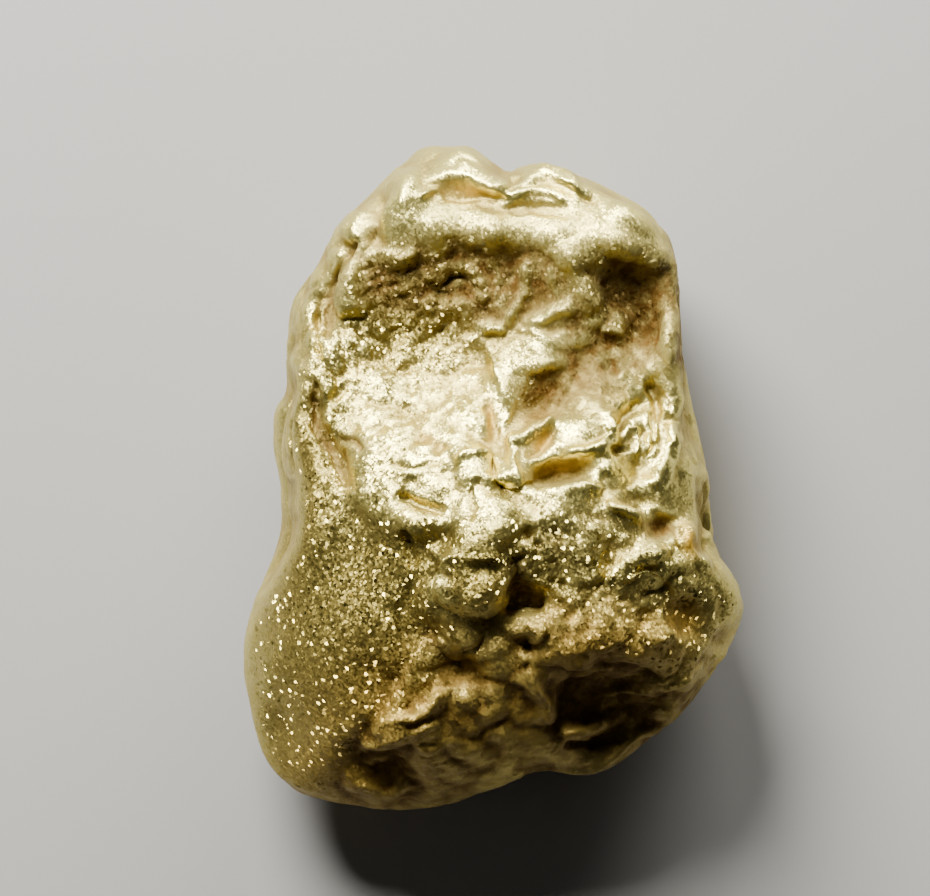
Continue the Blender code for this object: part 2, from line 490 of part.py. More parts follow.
def sculpt(points, faces, sphere):
    """Soft unevenness over the whole skin, then the folds and dents of the sides,
    then the detail of the upper face, all along the calmed normals of the body."""
    normals = calmed(vertex_normals(points, faces), faces, CALM_ROUNDS)
    normals /= np.linalg.norm(normals, axis=1, keepdims=True)
    above = fade(normals[:, 2], ABOVE_FADE)
    wave = np.zeros(len(points))
    for step, (size, height_above, height_below) in enumerate(UNDULATION):
        height = height_above * above + height_below * (1 - above)
        wave += height * smooth_noise(points / size + NOISE_SHIFT, NOISE_SEED + step)
    points = points + normals * wave[:, None]
    lift = knock_lift(points, sphere, fade(normals[:, 2], SIDE_FADE))
    for seam in SEAMS:
        lift += stroke_lift(points, seam, on_skin(points, seam.path))
    points = points + normals * lift[:, None]
    bent = wavering(points, *STROKE_WAVER)
    lift = sum(lump_lift(bent, lump) for lump in LUMPS) + crumple_lift(points)
    lift += sum(stroke_lift(bent, stroke) for stroke in STROKES)
    return points + normals * (lift * fade(normals[:, 2], UPPER_FADE))[:, None]


def trim_to_outline(points):
    """Move the skin in or out so that the body seen from above fills its outline."""
    angle = np.arctan2(points[:, 1], points[:, 0])
    radius = np.hypot(points[:, 0], points[:, 1])
    step = ((angle / (2 * math.pi) + 0.5) * OUTLINE_STEPS).astype(int) % OUTLINE_STEPS
    widest = np.zeros(OUTLINE_STEPS)
    np.maximum.at(widest, step, radius)
    middle = ((np.arange(OUTLINE_STEPS) + 0.5) / OUTLINE_STEPS - 0.5) * 2 * math.pi
    short = outline_radius(middle) / widest
    share = np.interp(angle, middle, short, period=2 * math.pi)
    pull = 1 + (share - 1) * np.clip(radius * share / outline_radius(angle), 0, 1) ** EDGE_PULL
    return np.column_stack((points[:, :2] * pull[:, None], points[:, 2]))


def settle(points):
    """Bring the nugget to its driving sizes, flat where it has worn underneath."""
    low, high = points.min(0), points.max(0)
    middle = np.array(((low[0] + high[0]) / 2, (low[1] + high[1]) / 2, 0.0))
    span = np.array((high[0] - low[0], high[1] - low[1], high[2]))
    points = (points - middle) * np.array((WIDTH, LENGTH, THICKNESS)) / span
    points[:, 2] = np.maximum(points[:, 2], 0)
    return points


def gold(name):
    """Native gold, worn to a soft shine."""
    material = bpy.data.materials.new(name)
    material.use_nodes = True
    shader = material.node_tree.nodes["Principled BSDF"]
    shader.inputs["Base Color"].default_value = GOLD_COLOUR
    shader.inputs["Metallic"].default_value = 1.0
    shader.inputs["Roughness"].default_value = GOLD_ROUGHNESS
    return material


def shaped_sphere():
    """A fine sphere of triangles pulled into the nugget's shape, in metres."""
    mesh = bpy.data.meshes.new("fine_nugget")
    ball = bmesh.new()
    bmesh.ops.create_icosphere(ball, subdivisions=SPHERE_SUBDIVISIONS, radius=1.0)
    ball.to_mesh(mesh)
    ball.free()
    sphere = np.zeros(len(mesh.vertices) * 3)
    mesh.vertices.foreach_get("co", sphere)
    sphere = sphere.reshape(-1, 3)
    faces = np.zeros(len(mesh.polygons) * 3, dtype=int)
    mesh.polygons.foreach_get("vertices", faces)
    points = sculpt(rough_body(sphere), faces.reshape(-1, 3), sphere)
    points = settle(trim_to_outline(points)) * MM
    mesh.vertices.foreach_set("co", points.ravel())
    return mesh


def thinned(mesh):
    """The same skin on the triangles it needs, with its worn sole exactly flat."""
    fine = bpy.data.objects.new("fine_nugget", mesh)
    bpy.context.scene.collection.objects.link(fine)
    thin = fine.modifiers.new("thin", "DECIMATE")
    thin.ratio = TRIANGLES / len(mesh.polygons)
    graph = bpy.context.evaluated_depsgraph_get()
    coarse = bpy.data.meshes.new_from_object(fine.evaluated_get(graph))
    bpy.data.objects.remove(fine)
    for vertex in coarse.vertices:
        if vertex.co.z < SOLE_WEAR * MM:
            vertex.co.z = 0.0
    return coarse


def make_nugget():
    """The nugget as one closed object of native gold."""
    mesh = thinned(shaped_sphere())
    mesh.name = "nugget"
    mesh.shade_smooth()
    mesh.materials.append(gold("native_gold"))
    nugget = bpy.data.objects.new("nugget", mesh)
    bpy.context.scene.collection.objects.link(nugget)


def main():
    for old in list(bpy.data.objects):
        bpy.data.objects.remove(old)
    make_nugget()


main()
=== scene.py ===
"""Gold nugget: the dressed skin of the lump, its native gold, and a plain studio.

Laid out as an add-on and run as a script. The skin is a numpy surface: six square
grids cover a cube, the cube is blown up to a ball, and the ball is pulled to the
nugget's outline and heights, then sculpted with ridges, creases, lumps and pits.
Shapes are drawn in millimetres and built in metres, +Z up.
"""

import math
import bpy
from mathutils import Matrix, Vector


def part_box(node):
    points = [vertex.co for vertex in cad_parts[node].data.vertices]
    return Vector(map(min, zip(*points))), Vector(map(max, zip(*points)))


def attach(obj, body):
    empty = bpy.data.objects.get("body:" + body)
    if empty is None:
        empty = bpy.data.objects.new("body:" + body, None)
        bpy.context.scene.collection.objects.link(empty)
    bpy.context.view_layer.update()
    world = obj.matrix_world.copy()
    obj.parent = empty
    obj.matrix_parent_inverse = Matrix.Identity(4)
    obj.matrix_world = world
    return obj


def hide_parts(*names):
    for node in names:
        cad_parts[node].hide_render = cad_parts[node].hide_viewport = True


bl_info = {
    "name": "Gold Nugget",
    "version": (1, 0, 0),
    "blender": (4, 5, 0),
    "location": "3D Viewport > Sidebar > Nugget",
    "description": "A tumbled nugget of native gold, its finish and a small studio",
    "category": "Add Mesh",
}

from collections import namedtuple

import bpy
import numpy as np
from bpy.props import FloatProperty, FloatVectorProperty, IntProperty, PointerProperty
from mathutils import Vector

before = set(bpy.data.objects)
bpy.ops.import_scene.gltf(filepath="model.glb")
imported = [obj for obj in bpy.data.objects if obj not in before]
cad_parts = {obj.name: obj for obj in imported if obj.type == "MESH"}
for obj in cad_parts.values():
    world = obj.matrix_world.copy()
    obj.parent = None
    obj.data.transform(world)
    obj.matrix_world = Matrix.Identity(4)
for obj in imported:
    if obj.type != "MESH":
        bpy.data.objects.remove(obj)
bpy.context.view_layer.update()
CAD_LOW, CAD_HIGH = (np.array(corner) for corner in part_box("nugget"))

MM = 0.001

# The outline seen from above, clockwise from the knob at the top
OUTLINE = (
    (-1.5, 11.05), (-0.7, 11.03), (-0.1, 10.62), (0.45, 10.3), (1.3, 10.47),
    (2.5, 10.2), (4.0, 9.55), (5.1, 8.9), (5.85, 7.9), (6.12, 6.6),
    (6.17, 5.0), (6.4, 3.3), (6.78, 1.5), (7.1, 0.0), (7.28, -1.6),
    (7.6, -2.7), (8.05, -3.3), (8.27, -4.0), (7.95, -5.2), (7.1, -6.6),
    (6.0, -7.95), (4.9, -8.8), (3.4, -9.7), (2.5, -9.75), (1.5, -9.62),
    (0.4, -10.1), (-0.8, -10.6), (-3.0, -11.0), (-5.0, -10.75), (-6.6, -10.3),
    (-7.5, -9.3), (-8.1, -7.3), (-8.28, -6.0), (-8.1, -4.5), (-7.3, -2.5),
    (-7.05, -0.4), (-7.3, 1.4), (-7.15, 2.5), (-6.93, 2.8), (-6.85, 4.3),
    (-6.5, 6.2), (-5.7, 7.25), (-5.25, 8.3), (-4.0, 9.5), (-3.1, 10.45),
    (-2.4, 10.98),
)

# Heights of the upper face, as rows of (x, z) across the nugget at each y
UPPER_ROWS = {
    10.0: ((-2.6, 8.1), (-1.0, 8.2), (0.5, 7.5), (1.8, 7.9), (2.9, 7.5)),
    9.1: ((-4.4, 7.2), (-3.0, 8.6), (-1.4, 8.4), (0.2, 8.4), (1.6, 8.4), (3.2, 8.2), (4.6, 7.4)),
    8.2: ((-5.0, 7.4), (-3.7, 8.6), (-2.0, 9.0), (0.0, 9.0), (2.0, 8.9), (3.7, 8.8), (5.2, 7.9)),
    7.2: ((-5.3, 7.6), (-4.1, 8.5), (-2.5, 8.5), (-0.9, 8.3), (0.7, 8.3), (2.2, 8.8), (3.3, 8.6),
          (4.6, 8.3), (5.6, 8.0)),
    6.1: ((-6.0, 6.9), (-5.0, 8.1), (-4.0, 8.1), (-2.5, 8.0), (-0.9, 7.9), (0.6, 7.9), (1.6, 8.0),
          (2.8, 8.4), (3.9, 7.9), (4.9, 7.6), (5.8, 7.6)),
    4.8: ((-6.3, 7.2), (-5.0, 8.0), (-3.5, 7.6), (-1.5, 7.3), (0.4, 7.7), (1.4, 8.0), (2.4, 8.1),
          (3.3, 7.8), (4.3, 7.4), (5.3, 7.3), (6.0, 7.4)),
    3.2: ((-6.4, 7.5), (-5.0, 8.1), (-3.0, 7.9), (-1.0, 8.0), (0.5, 8.5), (1.5, 8.2), (2.7, 8.1),
          (4.1, 7.8), (5.3, 7.7), (6.1, 7.4)),
    1.5: ((-6.6, 7.6), (-5.2, 8.5), (-4.0, 8.9), (-2.0, 9.1), (-0.3, 9.3), (1.0, 9.1), (2.6, 9.4),
          (3.8, 9.1), (4.9, 8.6), (6.2, 7.9)),
    0.0: ((-6.4, 7.9), (-5.0, 9.0), (-3.5, 9.8), (-1.5, 10.1), (0.3, 10.3), (2.0, 9.8), (3.6, 9.6),
          (5.0, 9.1), (6.4, 7.9)),
    -0.7: ((-6.5, 7.8), (-4.8, 9.1), (-3.0, 10.0), (-1.5, 10.4), (0.3, 10.6), (2.0, 10.3),
           (3.6, 10.0), (5.0, 9.3), (6.5, 7.8)),
    -1.6: ((-6.6, 7.6), (-4.7, 9.0), (-2.5, 10.1), (-0.6, 10.7), (0.7, 10.5), (2.0, 10.3),
           (4.0, 9.9), (5.6, 9.2), (6.8, 7.7)),
    -3.0: ((-7.1, 6.9), (-5.2, 8.5), (-3.0, 9.5), (-1.0, 10.4), (0.6, 10.2), (2.0, 10.0), (4.0, 9.7),
           (5.6, 9.1), (7.2, 7.8)),
    -4.8: ((-7.4, 6.5), (-5.6, 8.2), (-4.0, 8.8), (-2.5, 9.0), (-1.0, 9.5), (0.6, 9.5),
           (2.5, 9.7), (4.3, 9.4), (6.1, 8.5), (7.6, 6.7)),
    -5.8: ((-7.5, 6.2), (-5.6, 7.9), (-4.0, 8.4), (-2.5, 8.6), (-0.9, 8.6), (0.6, 9.1),
           (2.0, 9.4), (3.4, 9.2), (4.8, 8.9), (6.1, 8.1), (7.2, 6.5)),
    -6.7: ((-7.4, 5.9), (-5.6, 7.5), (-4.0, 8.0), (-2.5, 8.2), (-0.9, 8.3), (0.6, 8.3),
           (1.6, 8.1), (3.0, 7.3), (4.5, 7.1), (5.6, 7.3), (6.6, 6.3)),
    -8.2: ((-7.1, 5.1), (-5.3, 6.8), (-4.0, 7.4), (-2.5, 7.6), (-1.0, 7.4), (0.6, 7.1),
           (1.8, 6.9), (3.4, 6.0), (4.9, 5.3)),
    -9.7: ((-6.4, 4.9), (-5.0, 5.8), (-3.8, 5.6), (-2.0, 6.0), (-0.5, 5.6), (1.3, 5.0), (2.8, 4.9)),
}

# The girdle, the line round the nugget where its upper and under faces meet: its height,
# how much it climbs along Y, and its waves as (waves round the nugget, height, start)
GIRDLE_HEIGHT = 4.6
GIRDLE_RISE = 0.08
GIRDLE_WAVES = ((2, 0.35, 0.8), (3, 0.20, 0.0))

# How square the edges of the faces are, and the least share of a face's height
# that is left where its heights are given
EDGE_FULLNESS = 5.5
LEAST_SHARE = 0.3
# The least squared distance whose logarithm the bent plate takes
PLATE_LEAST = 1e-9

# A swelling or hollow: its middle, half widths, height and turn. A ridge or groove:
# its half width, its height and the corners of its path. All in millimetres and
# degrees, but for a list of frost, of brown film and painted shade, or of amber the height is the share laid
# on
Lump = namedtuple("Lump", "name x y across along height turn", defaults=(0,))
Stroke = namedtuple("Stroke", "name width height path")


def lumps(*rows):
    """Lumps from rows of their values, where a turn of 0 is left out."""
    return [Lump(*row) for row in rows]


def strokes(*rows):
    """Strokes from rows of a name, a width, a height and the path's corners."""
    return [Stroke(name, width, height, path) for name, width, height, *path in rows]


# Broad swellings (height above 0) and hollows (below 0) of the upper face
LUMPS = lumps(
    ("knob at the top left corner", -2.8, 9.5, 0.7, 1.0, 0.45),
    ("small bump on the top edge", -1.1, 10.5, 0.8, 0.45, 0.3),
    ("yellow hollow behind the lip", -0.9, 9.4, 1.0, 0.3, -0.25),
    ("dimple beside the leaf fold", 0.75, 9.95, 0.45, 0.3, -0.3, 30),
    ("right shoulder", 4.5, 8.4, 1.2, 0.7, 0.25, -30),
    ("left basin under the rim", -0.6, 7.1, 2.0, 0.8, -0.2),
    ("ring pit", -1.15, 6.35, 0.75, 0.5, -0.3, 15),
    ("right basin", 4.4, 6.2, 1.3, 1.4, -0.35),
    ("bump in the right basin", 3.8, 5.2, 0.6, 0.5, 0.35),
    ("bright facet between the basins", 1.4, 4.0, 0.8, 0.7, 0.4, 20),
    ("brown hollow under the facet", 1.45, 2.5, 0.85, 0.65, -0.5),
    ("greenish knob", -0.6, 0.5, 0.8, 0.6, 0.25),
    ("long dark pit", 2.05, 0.3, 1.0, 0.42, -0.7, 10),
    ("orange pit over the crossing", -0.1, 1.9, 0.3, 0.75, -0.15),
    ("pale ground right of the long pit", 3.5, 0.5, 0.5, 0.55, 0.4),
    ("right cup", 4.95, 1.1, 0.95, 1.2, -0.6),
    ("plateau beside the cup", 2.9, 1.6, 0.8, 0.5, 0.2, 10),
    ("left plate", -6.0, 1.8, 0.8, 1.8, 0.25),
    ("valley beside the left plate", -4.9, 1.2, 0.6, 0.6, -0.2),
    ("pit below the cup", 5.5, -1.5, 0.6, 0.5, -0.5),
    ("brown hollow left of that pit", 4.7, -0.7, 0.6, 0.4, -0.3),
    ("middle knob", -0.35, -3.3, 1.0, 0.9, 0.4),
    ("deep hole", 0.95, -3.9, 0.75, 0.55, -1.1),
    ("mound under the hole", 1.0, -4.7, 0.7, 0.5, 0.35),
    ("small pit under the mound", 1.1, -5.4, 0.45, 0.35, -0.35),
    ("bulge below the bright slope", -2.5, -1.4, 0.8, 0.5, 0.25),
    ("brown hollow left of the crest", -1.7, -1.8, 0.5, 0.4, -0.2),
    ("olive hollow inside the nose", 6.2, -4.4, 0.9, 0.8, -0.4),
    ("nose at the right corner", 7.6, -4.0, 0.8, 1.2, 0.25),
    ("lower left lobe", -5.0, -5.5, 2.2, 2.8, 0.3),
    ("tan bump in the V", -2.4, -6.1, 0.7, 0.6, 0.3),
    ("dark pit at the bottom corner", -3.8, -9.4, 0.9, 0.7, -0.4),
    ("smooth bulge at the bottom", -1.4, -9.2, 1.3, 0.9, 0.3),
    ("dark valley at the lower right", 3.6, -7.2, 1.8, 1.2, -0.35),
)

# Rounded ridges (height above 0) and grooves (below 0) of the upper face
STROKES = strokes(
    ("rim band", 0.7, 0.18, (-3.4, 8.2), (-1.8, 8.35), (-0.3, 8.3), (1.2, 8.0), (3.2, 7.75), (4.9, 7.3)),
    ("second ridge behind the rim", 0.3, 0.22, (-2.2, 9.9), (-1.0, 9.9), (0.2, 9.75)),
    ("leaf fold", 0.25, 0.2, (1.5, 10.1), (2.0, 9.9), (2.7, 9.6)),
    ("crease under the leaf", 0.2, -0.2, (0.9, 9.6), (1.7, 9.65), (2.5, 9.4)),
    ("striation on the rim", 0.12, -0.1, (0.5, 8.95), (1.5, 8.95), (2.4, 8.8)),
    ("valley beside the knob", 0.28, -0.4, (-3.6, 9.7), (-3.9, 9.1), (-4.0, 8.2), (-3.7, 7.6)),
    ("outer ridge of the left flank", 0.3, 0.3, (-4.4, 9.1), (-4.7, 8.5), (-4.5, 7.9)),
    ("upright ridge on the flank", 0.4, 0.25, (-4.6, 7.3), (-4.7, 6.5), (-4.6, 5.5)),
    ("fold groove on the flank", 0.3, -0.4, (-4.7, 8.0), (-5.0, 7.1), (-5.35, 6.3), (-5.4, 5.4),
     (-5.3, 4.5)),
    ("lip of the left basin", 0.25, 0.18, (-3.6, 7.5), (-3.0, 7.35), (-2.4, 7.45)),
    ("crease across the left basin", 0.35, -0.15, (-4.0, 6.4), (-3.2, 6.8), (-2.2, 7.0)),
    ("rim of the ring pit", 0.22, 0.18, (-1.9, 6.3), (-1.5, 6.9), (-0.9, 7.0), (-0.45, 6.5), (-0.4, 5.7)),
    ("rib between the basins", 0.25, 0.2, (1.0, 7.3), (1.1, 6.5), (0.8, 5.7), (0.5, 5.0)),
    ("ridge between the basins", 0.4, 0.25, (2.2, 7.8), (2.6, 7.0), (2.9, 6.2), (3.3, 5.5)),
    ("bright streak", 0.3, 0.28, (1.1, 5.0), (1.8, 5.4), (2.7, 5.9)),
    ("bright line on the floor", 0.2, 0.2, (-0.3, 5.0), (0.4, 4.85)),
    ("lip of the left plate", 0.3, -0.5, (-5.85, 3.4), (-5.9, 2.2), (-5.5, 1.3), (-5.05, 0.5),
     (-4.9, -0.3)),
    ("sliver on the left edge", 0.3, 0.25, (-7.0, 2.6), (-7.1, 1.3), (-6.95, 0.0)),
    ("ridge above the orange pit", 0.2, 0.3, (0.4, 1.1), (1.0, 1.4), (1.6, 1.8), (2.1, 2.05)),
    ("ridge round the plateau", 0.22, 0.28, (2.1, 0.9), (3.2, 1.0), (3.9, 1.4), (3.6, 2.2)),
    ("lower lip of the dark pit", 0.3, 0.25, (0.8, -0.3), (2.0, -0.45), (3.5, -0.3)),
    ("crest line", 0.5, 0.22, (-5.0, 0.0), (-3.8, -0.9), (-2.4, -1.4), (0.0, -1.6), (1.8, -1.1),
     (3.6, -0.5)),
    ("rim of the cup", 0.25, 0.3, (5.9, 2.0), (5.95, 1.2), (5.7, 0.4), (5.2, -0.2)),
    ("ribs above the cup", 0.2, -0.3, (4.0, 1.6), (4.3, 2.2), (4.85, 2.8)),
    ("second rib above the cup", 0.2, -0.25, (5.0, 3.4), (5.3, 2.6), (5.4, 2.0)),
    ("crease under the bright slope", 0.2, -0.25, (-3.2, -0.4), (-2.3, -0.8), (-1.5, -1.0)),
    ("crease beside the bulge", 0.25, -0.15, (-2.9, -1.6), (-2.7, -2.2), (-2.5, -2.9)),
    ("thin ridge by the right pits", 0.2, 0.25, (3.6, -0.7), (4.2, -1.0), (4.9, -1.2)),
    ("bright ridge above the nose", 0.3, 0.35, (3.8, -2.8), (4.5, -2.5), (5.6, -2.3)),
    ("crease under that ridge", 0.25, -0.22, (5.8, -3.3), (5.2, -3.55), (4.6, -3.6)),
    ("fold down the right edge", 0.22, -0.3, (6.85, 0.2), (7.0, -1.0), (7.1, -2.2), (7.3, -2.9)),
    ("slot beside the middle knob", 0.28, -0.6, (0.55, -2.3), (0.75, -2.9), (0.95, -3.5)),
    ("cleft left of the middle knob", 0.3, -0.3, (-1.5, -2.5), (-1.7, -3.3), (-1.3, -4.2)),
    ("V groove", 0.28, -0.4, (-2.4, -4.9), (-1.6, -5.5), (-1.1, -5.8), (-0.6, -5.4), (-0.2, -5.0)),
    ("edge of the left lobe", 0.35, -0.15, (-2.5, -2.9), (-2.9, -4.4), (-2.8, -5.5), (-3.3, -6.8),
     (-4.2, -8.2), (-5.0, -9.1)),
    ("first lower ridge", 0.35, 0.25, (-4.0, -8.2), (-3.2, -7.85), (-2.2, -7.4), (-1.6, -6.95),
     (-0.8, -6.9)),
    ("second lower ridge", 0.3, 0.25, (-4.3, -8.8), (-3.4, -8.5), (-2.6, -8.3), (-1.7, -7.9)),
    ("rim of the bottom pit", 0.3, 0.35, (-4.9, -9.9), (-4.2, -10.3), (-3.4, -10.4), (-2.8, -9.8)),
    ("ridge left of the dark valley", 0.35, 0.4, (1.0, -6.1), (1.5, -6.9), (1.8, -8.0)),
    ("ridge inside the dark valley", 0.3, 0.35, (2.2, -8.4), (3.0, -8.2), (3.8, -7.9)),
    ("crease inside the dark valley", 0.25, -0.2, (2.2, -8.8), (3.3, -8.7), (4.6, -8.4)),
    ("lower ridge on the bottom edge", 0.3, 0.25, (2.1, -9.5), (3.1, -9.5), (4.6, -8.8), (5.4, -8.1)),
)

# Hollows of the under face
UNDER_LUMPS = lumps(
    ("hollow near the top end", 1.5, 7.0, 2.4, 1.6, 0.9, 20),
    ("hollow on the left", -4.8, 2.0, 1.6, 2.6, 0.8, 10),
    ("scoop at the lower end", 0.5, -7.6, 2.4, 1.5, 1.0, -15),
    ("pit near the right side", 5.2, -2.6, 1.3, 1.1, 0.7),
    ("small pit", -2.6, 7.6, 0.9, 0.8, 0.6),
)
# The under face bulges below the ground at its middle and climbs to its edges
UNDER_CENTRE_DROP = 0.50
UNDER_RISE_ACROSS = 0.020
UNDER_RISE_ALONG = 0.010

# Folds and grooves round the sides, as paths of (x, y, z) near the skin
SEAMS = strokes(
    ("fold along the left side", 0.45, -0.45, (-6.6, 5.0, 5.6), (-7.3, 1.5, 4.6), (-7.4, -2.0, 4.4),
     (-8.2, -5.0, 3.0)),
    ("roll under the left fold", 0.7, 0.4, (-6.8, 4.0, 3.6), (-7.2, 0.5, 3.0), (-7.6, -3.0, 2.4)),
    ("groove down the top end", 0.4, -0.3, (0.4, 10.2, 7.6), (0.3, 10.4, 5.6), (1.2, 10.0, 3.4),
     (1.0, 8.8, 1.2)),
    ("ridge on the top end", 0.6, 0.35, (-2.0, 10.8, 7.0), (-2.4, 10.6, 4.6), (-1.6, 9.6, 2.0)),
    ("fold round the right shoulder", 0.45, -0.45, (4.6, 9.0, 6.6), (5.9, 7.4, 5.2), (6.2, 4.6, 4.8),
     (6.5, 2.4, 3.2)),
    ("roll on the right side", 0.5, 0.3, (6.1, 6.4, 6.2), (6.4, 3.4, 5.6), (7.0, 0.4, 5.4)),
    ("cleft above the nose", 0.45, -0.5, (6.9, -0.4, 6.6), (7.3, -1.8, 5.0), (7.6, -2.8, 3.4),
     (6.6, -3.4, 1.4)),
    ("crease under the nose", 0.4, -0.4, (7.6, -5.8, 5.4), (7.2, -6.0, 3.6), (5.6, -6.6, 1.6)),
    ("notch at the bottom edge", 0.5, -0.6, (1.5, -9.5, 4.9), (1.4, -9.6, 3.8), (1.0, -8.8, 1.6)),
    ("fold at the bottom end", 0.5, -0.3, (-5.8, -10.2, 3.2), (-3.6, -10.6, 3.0), (-1.0, -10.3, 2.8)),
    ("roll across the bottom end", 0.5, 0.3, (-5.6, -9.8, 2.2), (-2.6, -10.2, 1.8), (0.0, -9.8, 1.6)),
    ("crack across the underside", 0.35, -0.4, (-4.4, 4.6, 0.5), (-2.0, 5.6, 0.2), (0.6, 5.2, 0.2),
     (3.4, 6.0, 0.8)),
)

# Dents and bumps left by tumbling, strewn over the sides and the underside
KNOCKS = 80
KNOCK_REACH = (0.7, 1.6)
KNOCK_DEPTH = (-0.50, 0.28)

# Crumpled ground between the folds of the upper face: patches and their roughness
CRUMPLED = lumps(
    ("floor of the left basin", -2.2, 5.0, 2.6, 2.2, 0.14, 10),
    ("bright slope", -2.4, 1.2, 3.0, 2.4, 0.16),
    ("ground round the cup", 4.6, 2.8, 2.0, 3.2, 0.2),
    ("ground below the crest", 2.4, -2.4, 3.6, 2.0, 0.18),
    ("ground round the middle knob", -1.0, -4.6, 2.2, 3.0, 0.2),
    ("lower right", 4.4, -6.6, 3.6, 2.8, 0.22),
    ("lower middle", -2.0, -8.2, 3.4, 2.0, 0.16),
    ("left flank", -5.4, 4.8, 1.2, 3.6, 0.18),
    ("rim", 0.6, 9.3, 4.8, 1.2, 0.06),
    ("wall under the rim", 0.4, 7.2, 5.0, 1.0, 0.1),
    ("right basin", 4.4, 5.8, 1.8, 2.0, 0.12),
    ("hollow under the facet", 1.5, 2.8, 1.4, 1.3, 0.16),
)
# Where the crumple has finer lumps too, and how high these are
FINE_GROUND = lumps(
    ("floor of the left basin", -2.2, 5.0, 2.6, 1.8, 0.09, 10),
    ("bright slope", -2.2, 1.6, 2.6, 2.2, 0.045),
    ("ground round the cup", 4.8, 1.8, 1.4, 2.4, 0.05),
    ("between the basins", 2.4, 4.6, 1.4, 1.6, 0.04),
    ("ground below the crest", 2.4, -2.4, 3.2, 1.8, 0.05),
    ("ground round the middle knob", -1.0, -4.6, 2.2, 3.0, 0.04),
    ("lower right", 4.6, -6.2, 3.4, 2.8, 0.035),
    ("lower middle", -2.0, -8.2, 3.4, 2.0, 0.03),
    ("left flank", -5.4, 4.8, 1.2, 3.6, 0.05),
    ("left basin", -1.6, 6.5, 3.2, 1.2, 0.07),
    ("hollow under the facet", 1.5, 2.8, 1.0, 1.0, 0.04),
)
CRUMPLE_SIZE = 1.25
# The crumple's finer sizes, as widths and shares of the fine ground's height, and how
# its grain lies: its turn in degrees and how much longer than wide its lumps are
FINE_CRUMPLE = ((0.50, 1.0), (0.27, 0.7))
GRAIN_TURN = 28
GRAIN_STRETCH = 1.5

# How what is drawn on the skin wavers: size of the waves and their reach
CRUMPLE_WAVER = (1.6, 0.62)
STROKE_WAVER = (0.9, 0.16)
FINE_WAVER = (0.5, 0.10)

# Soft unevenness of the whole skin: size of the waves, height above, height below
UNDULATION = ((5.0, 0.20, 0.60), (2.4, 0.12, 0.36), (1.1, 0.05, 0.12))
NOISE_SEED = 11
NOISE_CELLS = 24
NOISE_GAIN = 1.6
NOISE_SHIFT = 7.3

# How the skin is worked: steps between corners of smooth paths, how full the bells of
# lumps are, how far strokes reach and how steeply they taper, which ways the skin may
# face for each kind of detail, and rounds of calming its normals for each layer
PATH_STEPS = 4
BELL_FULLNESS = 1.25
STROKE_MARGIN = 2.5
STROKE_TAPER = 6
UPPER_FADE = (-0.1, 0.35)
SIDE_FADE = (0.45, -0.05)
ABOVE_FADE = (-0.5, 0.5)
CALM_ROUNDS = 30
FINE_CALM_ROUNDS = 6

# How the outline is kept: steps round it, turns that calm its small notches, and how
# sharply the pull fades inwards
OUTLINE_STEPS = 240
CALM_TURNS = (-0.16, -0.08, 0.0, 0.08, 0.16)
EDGE_PULL = 6

